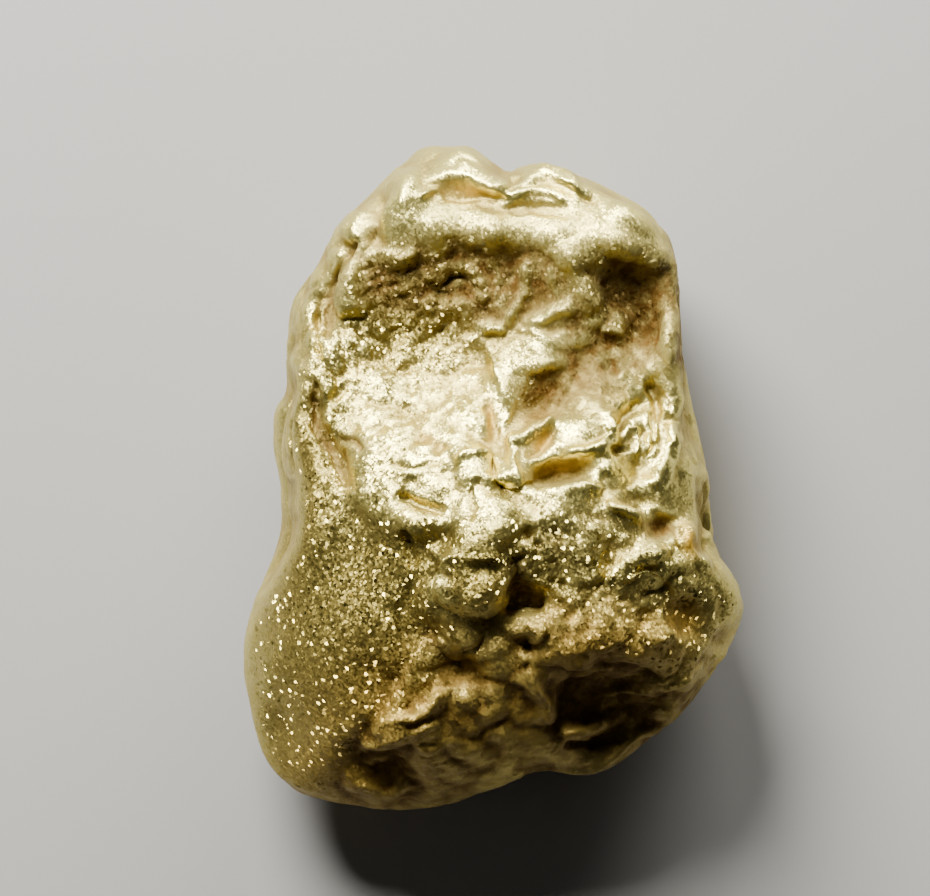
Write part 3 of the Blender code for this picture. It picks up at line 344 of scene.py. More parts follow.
# Fine ridges and creases of the upper face
FINE_STROKES = strokes(
    ("hook on the top bump", 0.09, -0.1, (-1.4, 10.25), (-1.15, 10.6), (-0.75, 10.6), (-0.6, 10.3)),
    ("knob's bright face", 0.22, 0.14, (-2.6, 10.4), (-2.9, 9.7), (-2.9, 8.9)),
    ("lip below the knob", 0.13, 0.16, (-2.5, 9.35), (-2.0, 9.5), (-1.6, 9.15)),
    ("yellow hollow's crease", 0.12, -0.16, (-1.9, 9.5), (-1.4, 9.25), (-0.5, 9.3), (0.4, 9.4)),
    ("ledge above the rim band", 0.12, -0.09, (-1.5, 8.95), (0.0, 9.0), (1.4, 8.75), (3.0, 8.6)),
    ("rim striation", 0.07, -0.06, (0.5, 8.75), (1.4, 8.8), (2.3, 8.6)),
    ("upper rim striation", 0.07, -0.06, (0.7, 9.15), (1.5, 9.2), (2.2, 9.0)),
    ("ground under the leaf", 0.25, 0.15, (0.7, 9.3), (1.4, 9.35), (2.4, 9.15)),
    ("leaf fold's edge", 0.09, 0.12, (1.5, 10.1), (2.0, 9.85), (2.6, 9.55)),
    ("short crease right of the leaf", 0.11, -0.12, (2.2, 9.65), (2.8, 9.3), (3.4, 9.2)),
    ("flank's outer fold", 0.12, 0.14, (-4.2, 9.2), (-4.6, 8.6), (-4.5, 8.1), (-4.1, 7.7)),
    ("flank's upright fold", 0.12, 0.12, (-4.6, 7.0), (-4.65, 6.5), (-4.55, 5.7)),
    ("flank's groove", 0.12, -0.22, (-4.4, 8.0), (-4.9, 7.2), (-5.3, 6.5), (-5.4, 5.5), (-5.3, 4.6)),
    ("second groove on the flank", 0.1, -0.2, (-5.6, 6.2), (-5.75, 5.0), (-5.7, 3.8)),
    ("basin's upper lip", 0.09, 0.1, (-3.4, 7.5), (-3.0, 7.35), (-2.5, 7.45)),
    ("basin's dark crease", 0.25, 0.1, (-4.0, 6.4), (-3.2, 6.8), (-2.2, 7.0)),
    ("ring pit's rim", 0.08, 0.08, (-1.7, 6.6), (-1.5, 6.9), (-1.0, 7.05), (-0.6, 6.9), (-0.4, 6.4),
     (-0.4, 5.8)),
    ("thin rib on the right of the pit", 0.07, 0.06, (0.1, 7.2), (0.15, 6.5), (0.0, 5.9)),
    ("rib's crest", 0.08, 0.09, (1.0, 7.2), (1.1, 6.5), (0.9, 5.9), (0.6, 5.5), (0.5, 5.0)),
    ("tan rib", 0.1, 0.08, (1.8, 7.0), (1.9, 6.5), (2.2, 6.0)),
    ("streak's crest", 0.12, 0.1, (1.2, 5.1), (1.9, 5.45), (2.6, 5.8)),
    ("bright line's crest", 0.09, 0.1, (-0.2, 5.0), (0.4, 4.85)),
    ("facet's upper edge", 0.1, 0.12, (0.8, 5.0), (1.5, 4.75), (2.1, 4.35)),
    ("facet's lower edge", 0.12, -0.12, (0.5, 3.4), (1.2, 3.5), (1.9, 3.6)),
    ("wrinkle under the facet", 0.08, -0.08, (1.1, 4.2), (1.5, 4.0), (1.9, 4.1)),
    ("rib between the slopes", 0.12, 0.15, (-0.1, 4.4), (0.05, 3.6), (0.3, 3.0), (0.35, 2.5)),
    ("second rib between the slopes", 0.11, 0.12, (0.45, 3.3), (0.5, 2.6), (0.45, 1.9)),
    ("ridge between the basins", 0.12, 0.08, (2.2, 7.8), (2.6, 7.0), (2.9, 6.2), (3.3, 5.6)),
    ("bump's crest", 0.1, 0.16, (3.5, 5.0), (3.9, 4.95), (4.2, 4.8)),
    ("lip over the left plate", 0.13, -0.3, (-5.85, 3.2), (-5.9, 2.0), (-5.6, 1.4), (-5.2, 0.9),
     (-5.0, 0.4), (-4.9, -0.2)),
    ("left plate's raised edge", 0.13, 0.1, (-6.1, 3.0), (-6.15, 2.1), (-5.85, 1.3), (-5.5, 0.7)),
    ("groove inside the sliver", 0.09, -0.14, (-6.8, 2.5), (-6.85, 1.4), (-6.75, 0.2)),
    ("valley behind the plate", 0.12, -0.16, (-5.2, 1.4), (-4.6, 1.3), (-4.3, 1.0)),
    ("crease above the valley", 0.12, -0.14, (-4.7, 3.4), (-4.8, 3.0), (-5.2, 2.6)),
    ("slope wrinkle", 0.1, -0.09, (-4.2, 2.6), (-3.2, 2.4), (-2.3, 2.7)),
    ("slope's second wrinkle", 0.1, -0.1, (-3.4, 0.6), (-2.6, 0.4), (-1.6, 0.7)),
    ("greenish knob's edge", 0.1, 0.13, (-1.2, 0.7), (-0.8, 1.0), (-0.2, 0.9), (0.1, 0.6)),
    ("tail of the greenish knob", 0.1, -0.14, (-0.6, 0.1), (-0.3, -0.2), (0.1, -0.3)),
    ("upright orange pit", 0.15, -0.16, (-0.2, 2.6), (-0.05, 1.9), (0.05, 1.3)),
    ("crossing", 0.16, 0.18, (0.6, 1.6), (0.65, 0.9), (0.6, 0.2), (0.8, -0.4)),
    ("ridge over the orange pit", 0.1, 0.18, (0.5, 1.2), (1.0, 1.4), (1.6, 1.8), (2.0, 2.05)),
    ("orange pit", 0.17, -0.2, (1.1, 0.8), (1.6, 1.15), (1.95, 1.8)),
    ("plateau's edge", 0.11, 0.16, (2.2, 0.95), (3.0, 1.0), (3.6, 1.25), (3.8, 1.6), (3.6, 2.0)),
    ("dark pit's upper edge", 0.1, 0.1, (1.3, 0.6), (2.1, 0.85), (2.9, 0.75)),
    ("dark pit's floor", 0.2, -0.1, (1.5, 0.2), (2.1, 0.3), (2.8, 0.4)),
    ("dark pit's lower lip", 0.13, 0.15, (1.1, -0.25), (2.0, -0.3), (3.0, -0.1), (3.5, -0.3)),
    ("cup's crescent", 0.14, 0.16, (5.85, 1.9), (5.9, 1.4), (5.6, 0.5), (5.2, -0.1)),
    ("first rib in the cup", 0.1, 0.12, (4.5, 2.0), (4.55, 1.3), (4.5, 0.6)),
    ("second rib in the cup", 0.09, 0.12, (4.95, 2.3), (5.0, 1.5), (4.9, 0.7)),
    ("third rib in the cup", 0.09, 0.1, (5.35, 1.9), (5.4, 1.2), (5.2, 0.5)),
    ("dark line over the cup", 0.11, -0.1, (3.9, 1.4), (4.3, 2.1), (4.8, 2.7)),
    ("dark line right of it", 0.1, -0.15, (5.0, 3.3), (5.2, 2.8), (5.4, 2.2)),
    ("nick left of the cup", 0.16, -0.2, (3.95, 1.15), (4.1, 0.85)),
    ("crease under the slope", 0.1, -0.14, (-3.0, -0.5), (-2.3, -0.8), (-1.6, -1.0)),
    ("thin crease on the crest", 0.08, -0.12, (-0.7, -0.2), (-0.7, -1.1), (-1.1, -1.3)),
    ("crease by the bulge", 0.11, -0.18, (-2.9, -1.6), (-2.7, -2.2), (-2.5, -2.8)),
    ("pale crest right of it", 0.12, 0.14, (-2.1, -2.0), (-1.8, -2.4), (-1.7, -2.9)),
    ("right hollow's thin ridge", 0.09, 0.18, (3.7, -0.7), (4.2, -1.0), (4.8, -1.2)),
    ("right pit's upper edge", 0.09, 0.12, (5.0, -1.0), (5.5, -0.95), (6.0, -1.15)),
    ("flake by the right edge", 0.16, 0.2, (6.25, -1.4), (6.4, -2.0), (6.55, -2.6)),
    ("shadow left of the flake", 0.08, -0.16, (5.95, -1.5), (6.05, -2.0), (6.2, -2.5)),
    ("right fold", 0.09, -0.16, (6.9, 0.0), (7.0, -1.0), (7.0, -2.0), (7.2, -2.6)),
    ("outermost thin ridge", 0.08, 0.1, (7.1, -0.5), (7.15, -1.4), (7.25, -2.2)),
    ("bright ridge's crest", 0.12, 0.2, (3.9, -2.75), (4.4, -2.55), (5.0, -2.4), (5.9, -2.2)),
    ("bright ridge's tail", 0.1, 0.16, (4.0, -2.7), (3.8, -3.0), (3.6, -3.3)),
    ("bright shelf over the nose", 0.2, 0.15, (6.5, -2.8), (6.8, -2.75), (7.0, -2.9)),
    ("small hole's tail", 0.09, -0.18, (1.15, -1.7), (1.3, -2.0), (1.5, -2.2)),
    ("crease below it", 0.09, -0.12, (1.8, -3.2), (2.1, -3.3), (2.4, -3.3)),
    ("nose crease", 0.11, -0.08, (5.7, -3.3), (5.4, -3.5), (5.0, -3.6), (4.5, -3.6)),
    ("nose crease's lip", 0.09, 0.12, (5.8, -3.25), (6.1, -3.2), (6.4, -3.4)),
    ("olive hollow's edge", 0.1, 0.14, (5.5, -3.9), (5.4, -4.5), (5.7, -5.1), (6.3, -5.3)),
    ("nose fold", 0.12, -0.1, (7.0, -3.3), (7.4, -3.9), (7.5, -4.7)),
    ("middle knob's bright arc", 0.13, 0.18, (-0.9, -2.7), (-0.45, -2.45), (0.05, -2.65), (0.3, -3.0)),
    ("middle knob's left edge", 0.1, -0.16, (-1.2, -2.9), (-1.2, -3.5), (-0.9, -4.0)),
    ("grey strip left of the knob", 0.25, 0.3, (-1.1, -2.2), (-1.5, -3.0), (-1.6, -4.0)),
    ("slope of the slot", 0.25, 0.25, (0.5, -2.3), (0.7, -2.9), (0.85, -3.3)),
    ("slot's right wall", 0.12, 0.14, (0.95, -2.4), (1.15, -2.9), (1.4, -3.3)),
    ("deep hole's floor", 0.2, -0.7, (0.35, -4.0), (0.9, -3.85), (1.6, -3.9)),
    ("mound's pale top", 0.13, 0.16, (0.3, -4.5), (0.7, -4.5), (1.2, -4.6)),
    ("thin ridge under the mound", 0.1, 0.15, (1.6, -4.5), (1.5, -5.0), (1.1, -5.2)),
    ("hole under the mound", 0.13, -0.25, (1.0, -5.45), (1.25, -5.35)),
    ("pale knot below", 0.12, 0.12, (0.9, -5.8), (1.1, -5.85)),
    ("V groove's floor", 0.2, 0.14, (-2.3, -5.0), (-1.5, -5.5), (-1.1, -5.8), (-0.7, -5.5), (-0.3, -5.2)),
    ("V groove's lower lip", 0.11, 0.12, (-2.2, -5.4), (-1.5, -5.9), (-1.1, -6.15), (-0.6, -5.85)),
    ("lobe's inner edge", 0.12, -0.06, (-2.5, -2.9), (-3.0, -4.5), (-2.7, -5.5), (-3.3, -6.8),
     (-4.2, -8.2), (-5.0, -9.0)),
    ("first ridge's crest", 0.11, 0.18, (-4.0, -8.3), (-3.3, -7.9), (-2.5, -7.7), (-2.0, -7.3),
     (-1.6, -6.9), (-1.0, -6.9)),
    ("second ridge's crest", 0.11, 0.18, (-4.3, -8.7), (-3.6, -8.6), (-2.8, -8.3), (-1.8, -7.9)),
    ("sparkling pit", 0.14, -0.2, (-2.95, -7.35), (-2.6, -7.45)),
    ("third small ridge", 0.13, 0.12, (-2.4, -8.9), (-1.6, -8.6), (-0.7, -8.5)),
    ("bottom pit's rim", 0.12, 0.16, (-4.7, -10.1), (-4.0, -10.3), (-3.5, -10.5), (-3.0, -10.1),
     (-2.8, -9.6)),
    ("bottom pit's inner ring", 0.12, 0.14, (-4.3, -9.3), (-3.9, -9.0), (-3.4, -9.1)),
    ("valley's left ridge", 0.13, 0.16, (1.1, -6.2), (1.4, -6.8), (1.7, -7.4), (1.8, -8.0)),
    ("valley's inner ridge", 0.12, 0.16, (2.2, -8.4), (3.0, -8.2), (3.6, -8.0)),
    ("valley's crease", 0.11, -0.18, (2.3, -8.7), (3.4, -8.7), (4.5, -8.5)),
    ("bottom edge's ridge", 0.12, 0.14, (2.2, -9.6), (3.0, -9.7), (3.8, -9.3), (4.6, -8.7), (5.2, -8.3)),
    ("valley's upper wrinkle", 0.12, 0.14, (2.2, -6.2), (3.0, -6.0), (3.9, -6.1)),
    ("valley's second wrinkle", 0.13, 0.14, (3.6, -7.0), (4.4, -6.8), (5.2, -6.9)),
    ("small bottom ridge", 0.1, 0.12, (0.6, -9.5), (0.8, -9.7), (1.0, -9.6)),
)

# Its small bumps and pits, and the facings of its broader forms
FINE_LUMPS = lumps(
    ("face of the crest", -0.5, -1.8, 0.9, 0.5, 0.32, 25),
    ("behind the crest", -0.5, -1.5, 1.0, 0.3, -0.1, 15),
    ("crest's foot", -0.5, -2.4, 1.2, 0.4, 0.36, 15),
    ("middle knob's face", -0.35, -3.6, 0.8, 0.6, 0.38),
    ("shelf left of the middle knob", -1.6, -3.8, 0.8, 0.8, 0.34),
    ("outer side of the rim's end", 4.5, 8.6, 1.1, 0.35, 0.2, -38),
    ("inner side of the rim's end", 4.7, 7.5, 1.1, 0.4, 0.42, -20),
    ("floor of the V", -0.9, -5.4, 1.2, 0.6, 0.38),
    ("floor of the bottom pit", -3.8, -9.5, 0.8, 0.6, 0.25),
    ("lower half of the facet", 1.5, 3.75, 0.7, 0.3, 0.18, 20),
    ("ground under the bright ridge", 5.6, -3.4, 1.3, 0.5, 0.25),
    ("front of the bright ridge", 5.0, -2.85, 1.4, 0.28, 0.4, 10),
    ("brown patch under the cup", 5.45, -1.55, 0.4, 0.35, -0.12),
    ("left end of the long pit", 0.75, 0.0, 0.5, 0.35, 0.3, 10),
    ("floor of the hollow under the facet", 1.4, 2.75, 0.7, 0.5, 0.15),
    ("floor of the cup", 4.95, 1.0, 0.7, 0.8, 0.3),
    ("small pit in the left basin", -0.9, 4.9, 0.3, 0.24, -0.18),
    ("floor of the ring pit", -1.1, 6.55, 0.6, 0.4, 0.22, 15),
    ("bright lens under the ring", -1.2, 5.75, 0.5, 0.2, 0.16, 20),
    ("dip beside the rib", -0.5, 4.0, 0.4, 0.5, -0.22),
    ("first small orange pit", -2.3, 1.4, 0.22, 0.18, -0.14),
    ("second small orange pit", -1.8, 1.1, 0.2, 0.18, -0.14),
    ("small hole", 1.15, -1.75, 0.2, 0.24, -0.25),
    ("small pit on the right", 2.5, -4.4, 0.28, 0.22, -0.18),
    ("white spot by the flake", 6.85, -2.6, 0.25, 0.25, 0.14),
    ("first sparkle", 5.1, 3.7, 0.16, 0.14, 0.12),
    ("second sparkle", 5.0, 3.3, 0.18, 0.16, 0.14),
    ("third sparkle", 4.2, 3.4, 0.16, 0.14, 0.1),
    ("spot on the right rim", 5.9, 4.3, 0.3, 0.4, 0.14),
    ("lower spot on the right rim", 6.0, 2.8, 0.3, 0.5, 0.14),
    ("bump at the lower right", 5.5, -6.5, 0.4, 0.3, 0.2),
    ("second bump at the lower right", 6.3, -6.7, 0.3, 0.3, 0.16),
    ("bump under the nose", 5.5, -5.1, 0.25, 0.2, 0.14),
    ("dark dimple by the leaf", 0.75, 10.0, 0.22, 0.16, -0.16, 20),
)

# Where the skin is frosted, with its gold darkened there by painted shade, and where it is rougher than its
# crumple makes it
FROSTED = lumps(
    ("lower left lobe", -6.2, -5.0, 3.8, 6.4, 1.0),
    ("left plate", -6.2, 1.6, 1.2, 3.0, 0.6),
    ("ground right of the lobe", -3.2, -4.0, 1.6, 3.0, 0.5),
    ("floor of the left basin", -2.8, 5.2, 2.4, 1.8, 0.8),
    ("ground below the crest", 2.6, -2.6, 3.6, 2.2, 0.7),
    ("nose", 7.0, -4.4, 1.8, 2.4, 0.6),
    ("left basin", -0.8, 6.8, 3.7, 1.7, 0.6),
    ("right basin", 4.4, 6.0, 1.8, 2.1, 0.6),
    ("hollow under the facet", 1.5, 2.8, 1.0, 1.1, 0.6),
    ("middle knob", -0.9, -3.6, 2.4, 2.4, 0.6),
    ("lower right", 4.6, -5.6, 3.0, 1.4, 0.5),
)
ROUGH_SKIN = lumps(
    ("left flank", -6.0, 4.4, 1.1, 4.2, 0.8),
    ("right edge", 6.3, 2.0, 0.8, 3.6, 0.5, -8),
    ("left plate", -6.0, 1.4, 1.0, 1.8, 0.6),
)

# Where the brown film is laid on: iron stain over the basins and broad ground, and painted shade over the
# lower end and its bottom rim, which face away from the light
STAINED_AND_SHADED = lumps(
    ("left basin", -0.8, 6.9, 3.7, 1.6, 0.95),
    ("left end of the left basin", -3.2, 6.3, 1.5, 0.8, 0.6, 20),
    ("middle of the left basin", 0.3, 6.1, 1.6, 1.2, 0.6),
    ("right basin", 4.5, 6.0, 1.8, 2.1, 1.2),
    ("foot of the right basin", 5.0, 4.5, 1.4, 1.0, 1.0, -15),
    ("ground right of the facet", 3.1, 4.1, 1.3, 1.6, 1.0),
    ("outer wall of the right basin", 5.7, 5.4, 0.7, 1.5, 1.2),
    ("hollow under the facet", 1.45, 2.8, 1.0, 1.0, 0.9),
    ("long dark pit", 2.05, 0.3, 1.0, 0.4, 0.6, 10),
    ("ground below the crest", 2.6, -1.6, 2.2, 1.2, 0.3),
    ("brown patch under the cup", 5.45, -1.55, 0.5, 0.45, 1.2),
    ("ground over the valley", 2.6, -5.0, 3.4, 1.4, 0.5),
    ("dark valley", 3.6, -7.4, 3.2, 2.2, 1.0),
    ("rim below the valley", 4.2, -8.8, 2.4, 1.1, 1.0, 25),
    ("lower middle", -1.8, -7.9, 3.8, 2.4, 0.8, 15),
    ("bottom pit", -3.8, -9.4, 1.4, 1.0, 0.6),
    ("lower end", -3.6, -10.2, 4.2, 1.3, 0.6),
)
# Painted shade: the brown film laid along the folds and grooves, where shade falls in their creases
SHADED_FOLDS = strokes(
    ("flank's fold", 0.22, 0.7, (-3.9, 9.1), (-4.0, 8.2), (-4.4, 7.4), (-5.0, 6.6), (-5.4, 5.4),
     (-5.1, 4.4)),
    ("under the plate's lip", 0.2, 0.9, (-5.85, 3.4), (-5.9, 2.2), (-5.5, 1.3), (-5.05, 0.5), (-4.8, 0.0)),
    ("valley behind the plate", 0.25, 0.7, (-5.1, 1.4), (-4.5, 1.3), (-4.2, 0.8)),
    ("slot beside the middle knob", 0.3, 1.0, (0.55, -2.5), (0.75, -3.1), (0.95, -3.9)),
    ("V groove", 0.22, 0.6, (-2.4, -4.9), (-1.6, -5.5), (-1.1, -5.8), (-0.6, -5.4), (-0.2, -5.0)),
)

# Where the gold is painted amber: in the small pits a painted reflection of the gold's light bouncing inside
# them, and on the lower end a warmer tone
RICH = lumps(
    ("yellow hollow behind the lip", -0.9, 9.4, 1.1, 0.25, 0.5),
    ("upright orange pit", -0.1, 1.9, 0.16, 0.7, 0.9),
    ("orange pit under the ridge", 1.55, 1.2, 0.55, 0.3, 0.9, 50),
    ("wall under the hollow", 1.4, 2.0, 0.5, 0.25, 0.5, 20),
    ("flake by the right edge", 6.4, -2.0, 0.28, 0.65, 0.9, 12),
    ("olive hollow inside the nose", 6.2, -4.4, 0.6, 0.6, 0.5),
    ("two small orange pits", -2.05, 1.25, 0.5, 0.22, 0.6, -30),
    ("long dark pit", 2.05, 0.3, 0.8, 0.3, 0.5, 10),
    ("lower right end", 3.8, -7.6, 3.4, 2.6, 0.6, 15),
    ("lower left end", -2.2, -8.0, 4.0, 2.6, 0.6, 10),
    ("bottom rim", -4.4, -10.3, 4.2, 1.2, 0.35, -8),
    ("ground over the valley", 2.4, -5.0, 3.4, 1.4, 0.35),
)

# How worn and hollow spots are told apart: rounds of calming that give the ground near
# a spot and wide round it, and the span of rises over each from hollow to worn
NEAR_ROUNDS = 30
WIDE_ROUNDS = 300
NEAR_RISE = 0.10
WIDE_RISE = 0.6
# The crumple's height at which the skin has all its roughness, and which ways the
# skin may face to be frosted
FULLY_CRUMPLED = 0.2
FROST_FADE = (0.25, 0.65)
# The flanks, which face out more than up: how much painted shade darkens their gold and their brown film, and
# how much rougher they are
FLANK_FADE = (0.1, 0.6)
FLANK_SHADE = 0.5
FLANK_FILM_SHADE = 0.3
FLANK_CRUMPLE = 0.5

# Which way the flakes of the frosted ground face, how far each strays from it, and how
# much smoother than the ground they are
FLAKE_FACING = (-0.17, 0.40, 0.90)
FLAKE_STRAY = 0.95
FLAKE_POLISH = -0.25
# How uneven the gold is at the least, as shares of its crumb and of its grain's tilt,
# and how far its flats sway, as a share of the crumb's width
LEAST_CRUMB = 0.4
LEAST_GRAIN = 0.4
FACET_SWAY = 0.6
# How much finer crumb rides on the crumb
CRUMB_OCTAVES = {"Detail": 3.0, "Roughness": 0.6}
# The brown film, iron stain in the basins and painted shade on the lower end, the
# folds and the flanks: its least share on worn spots, its least share between the
# crumbs and the crumb's heights over which it thickens, and how much rougher it is than gold
FILM_ON_WORN = 0.6
FILM_PATCHES = {"From Min": 0.38, "From Max": 0.58, "To Min": 0.6}
FILM_DULLS = 0.3
# What a surface without a film has of the specular level
PLAIN_SHEEN = 0.5

# The studio in metres: how matt its paint is, the floor's half width, the height of the
# nugget's middle, and each light's place from that middle and its width
PAINT_ROUGHNESS = 0.9
FLOOR_REACH = 0.6
MIDDLE_HEIGHT = 0.006
LIGHTS = {
    "key": ((-0.045, 0.105, 0.090), 0.08),
    "back": ((0.05, 0.16, 0.05), 0.10),
    "fill": ((-0.14, -0.03, 0.07), 0.10),
}
# Where the lens hangs over the nugget, the width of its sensor, both in millimetres, and
# the least distance it sees, in metres
LENS_PLACE = (-0.925, 1.024)
SENSOR_WIDTH = 36.0
NEAREST_SEEN = 0.01


def linear(hex_colour):
    """An sRGB hex colour as linear red, green and blue."""
    shares = [int(hex_colour[i:i + 2], 16) / 255 for i in (1, 3, 5)]
    return tuple(s / 12.92 if s <= 0.04045 else ((s + 0.055) / 1.055) ** 2.4 for s in shares)


# ---------------------------------------------------------------- settings

class NuggetSizes(bpy.types.PropertyGroup):
    """The lump's size and how finely its skin is made."""
    width: FloatProperty(
        name="Width", description="Size across X", unit="LENGTH", default=float(CAD_HIGH[0] - CAD_LOW[0]))
    length: FloatProperty(
        name="Length", description="Size along Y", unit="LENGTH", default=float(CAD_HIGH[1] - CAD_LOW[1]))
    thickness: FloatProperty(
        name="Thickness", description="Size up Z", unit="LENGTH", default=float(CAD_HIGH[2] - CAD_LOW[2]))
    steps: IntProperty(
        name="Grid steps", description="Steps along each edge of the six grids", default=128, min=16, max=128)
    front_share: FloatProperty(
        name="Finer above", description="How much closer the grid lies on the upper face",
        default=0.28, min=0.0, max=0.5)


class GoldFinish(bpy.types.PropertyGroup):
    """Colours and gloss of the native gold."""
    high: FloatVectorProperty(
        name="High gold", description="Colour of the worn rims and lumps", subtype="COLOR",
        default=linear("#EEE082"))
    # Painted shade: the darker gold laid into the hollows and on the flanks
    low: FloatVectorProperty(
        name="Low gold", description="Colour in the hollows", subtype="COLOR", default=linear("#B8A55A"))
    # Painted shade along with the stain: the brown film's colour, iron stain in the basins and painted shade
    # on the lower end, in the folds and on the flanks
    stain: FloatVectorProperty(
        name="Iron stain", description="Colour of the iron film in pits", subtype="COLOR",
        default=linear("#64491C"))
    # Painted shade: a darker khaki laid on the frosted ground
    shaded_frosted_gold: FloatVectorProperty(
        name="Frosted gold", description="Colour of the grainy ground", subtype="COLOR",
        default=linear("#9A8945"))
    # Painted reflection: amber laid into the small pits, and a warmer tone on the lower end
    rich: FloatVectorProperty(
        name="Amber film", description="Colour of the amber film in pits", subtype="COLOR",
        default=linear("#A67C12"))
    polished: FloatProperty(
        name="Polished roughness", description="Roughness of the worn rims", default=0.33, min=0, max=1)
    frosted: FloatProperty(
        name="Frosted roughness", description="Roughness of the grainy ground", default=0.52, min=0, max=1)
    grain_mm: FloatProperty(
        name="Grain", description="Width of the gold's crystal grains in millimetres", default=0.07)
    grain_tilt: FloatProperty(
        name="Grain tilt", description="How far the grains' faces lean", default=0.7)
    crumb_mm: FloatProperty(
        name="Crumb", description="Width of the fine unevenness in millimetres", default=0.45)
    crumb_height_mm: FloatProperty(
        name="Crumb height", description="Height of the fine unevenness in millimetres", default=0.035)
    flake_mm: FloatProperty(
        name="Flake", description="Width of the bright flakes in millimetres", default=0.10)
    flake_share: FloatProperty(
        name="Flake share", description="Share of the frosted ground that is flakes", default=0.13,
        min=0, max=1)
    facet_mm: FloatProperty(
        name="Facet", description="Width of the flats of the crumpled ground in millimetres", default=0.32)
    facet_tilt: FloatProperty(
        name="Facet tilt", description="How far those flats lean", default=0.5)
    film_metal: FloatProperty(
        name="Metal through the film", description="Share of the gold seen through the iron film",
        default=0.22, min=0, max=1)
    film_sheen: FloatProperty(
        name="Film sheen", description="Specular level of the earthy iron film", default=0.1, min=0, max=1)


class Studio(bpy.types.PropertyGroup):
    """Floor, lights and camera."""
    floor_colour: FloatVectorProperty(
        name="Floor", description="Colour of the pale floor", subtype="COLOR", default=linear("#A09E98"))
    key_power: FloatProperty(
        name="Key light", description="Power of the soft key light", unit="POWER", default=0.82)
    back_power: FloatProperty(
        name="Back light", description="Power of the light behind the top end", unit="POWER", default=0.42)
    fill_power: FloatProperty(
        name="Fill light", description="Power of the soft fill light", unit="POWER", default=0.008)
    room: FloatProperty(name="Room light", description="Strength of the even room light", default=0.03)
    camera_height: FloatProperty(
        name="Camera height", description="Height of the lens above the girdle", unit="LENGTH", default=0.25)
    view_width: FloatProperty(
        name="View width", description="Width that the picture covers", unit="LENGTH", default=0.03072)


# ---------------------------------------------------------------- shapes

def outline_radius(angle):
    """Radius of the outline at each angle: a periodic cubic through its points."""
    corners = np.array(OUTLINE)
    at = np.arctan2(corners[:, 1], corners[:, 0])
    order = np.argsort(at)
    at, radius = at[order], np.hypot(corners[:, 0], corners[:, 1])[order]
    at = np.concatenate((at[-2:] - 2 * math.pi, at, at[:2] + 2 * math.pi))
    radius = np.concatenate((radius[-2:], radius, radius[:2]))
    slope = np.gradient(radius, at)
    angle = (angle + math.pi) % (2 * math.pi) - math.pi
    left = np.clip(np.searchsorted(at, angle) - 1, 0, len(at) - 2)
    span = at[left + 1] - at[left]
    t = (angle - at[left]) / span
    ends = (1 - t) ** 2 * ((1 + 2 * t) * radius[left] + t * span * slope[left])
    return ends + t * t * ((3 - 2 * t) * radius[left + 1] - (1 - t) * span * slope[left + 1])


def calm_radius(angle):
    """The outline without its small notches: a mean over its neighbours."""
    return sum(outline_radius(angle + turn) for turn in CALM_TURNS) / len(CALM_TURNS)


def edge_share(reach):
    """How much of a face's height is left at each share of the outline's radius."""
    return np.sqrt(np.clip(1 - reach ** EDGE_FULLNESS, 0, 1))


def girdle_height(x, y):
    """Height of the line round the nugget where the upper face meets the under face."""
    angle = np.arctan2(y, x)
    waves = sum(height * np.sin(count * angle + start) for count, height, start in GIRDLE_WAVES)
    return GIRDLE_HEIGHT + GIRDLE_RISE * y + waves


def upper_height(x, y):
    """Upper face above the girdle before its edges round off: a thin plate bent
    through the rows of heights."""
    known = np.array([(kx, ky, kz) for ky, row in UPPER_ROWS.items() for kx, kz in row])
    kx, ky, kz = known.T
    reach = np.hypot(kx, ky) / outline_radius(np.arctan2(ky, kx))
    rise = (kz - girdle_height(kx, ky)) / np.maximum(edge_share(reach), LEAST_SHARE)

    def plate(ax, ay):
        square = (ax[:, None] - kx) ** 2 + (ay[:, None] - ky) ** 2
        return square * np.log(square + PLATE_LEAST)

    size = len(known)
    flat = np.column_stack((np.ones(size), kx, ky))
    system = np.zeros((size + 3, size + 3))
    system[:size, :size] = plate(kx, ky)
    system[:size, size:] = flat
    system[size:, :size] = flat.T
    weight = np.linalg.solve(system, np.append(rise, np.zeros(3)))
    return plate(x, y) @ weight[:size] + np.column_stack((np.ones(len(x)), x, y)) @ weight[size:]


def smooth_noise(points, seed):
    """Soft noise between about -1 and 1: random slopes on a lattice, blended in
    each cube."""
    slopes = np.random.default_rng(seed).normal(size=(NOISE_CELLS,) * 3 + (3,))
    slopes /= np.linalg.norm(slopes, axis=3, keepdims=True)
    base = np.floor(points).astype(int)
    part = points - base
    blend = part ** 3 * (part * (part * 6 - 15) + 10)
    total = np.zeros(len(points))
    for corner in np.ndindex(2, 2, 2):
        share = np.prod(np.where(corner, blend, 1 - blend), axis=1)
        cell = (base + corner) % NOISE_CELLS
        slope = slopes[cell[:, 0], cell[:, 1], cell[:, 2]]
        total += share * ((part - corner) * slope).sum(1)
    return NOISE_GAIN * total


def rounded_path(path):
    """Points along a smooth curve through a path's corners."""
    ends = np.array(path)
    ends = np.vstack((2 * ends[0] - ends[1], ends, 2 * ends[-1] - ends[-2]))
    t = np.arange(PATH_STEPS)[:, None] / PATH_STEPS
    runs = []
    for a, b, c, d in zip(ends, ends[1:], ends[2:], ends[3:]):
        curve = 2 * b + (c - a) * t + (2 * a - 5 * b + 4 * c - d) * t ** 2
        runs.append((curve + (3 * b - a - 3 * c + d) * t ** 3) / 2)
    return np.vstack(runs + [ends[-2:-1]])


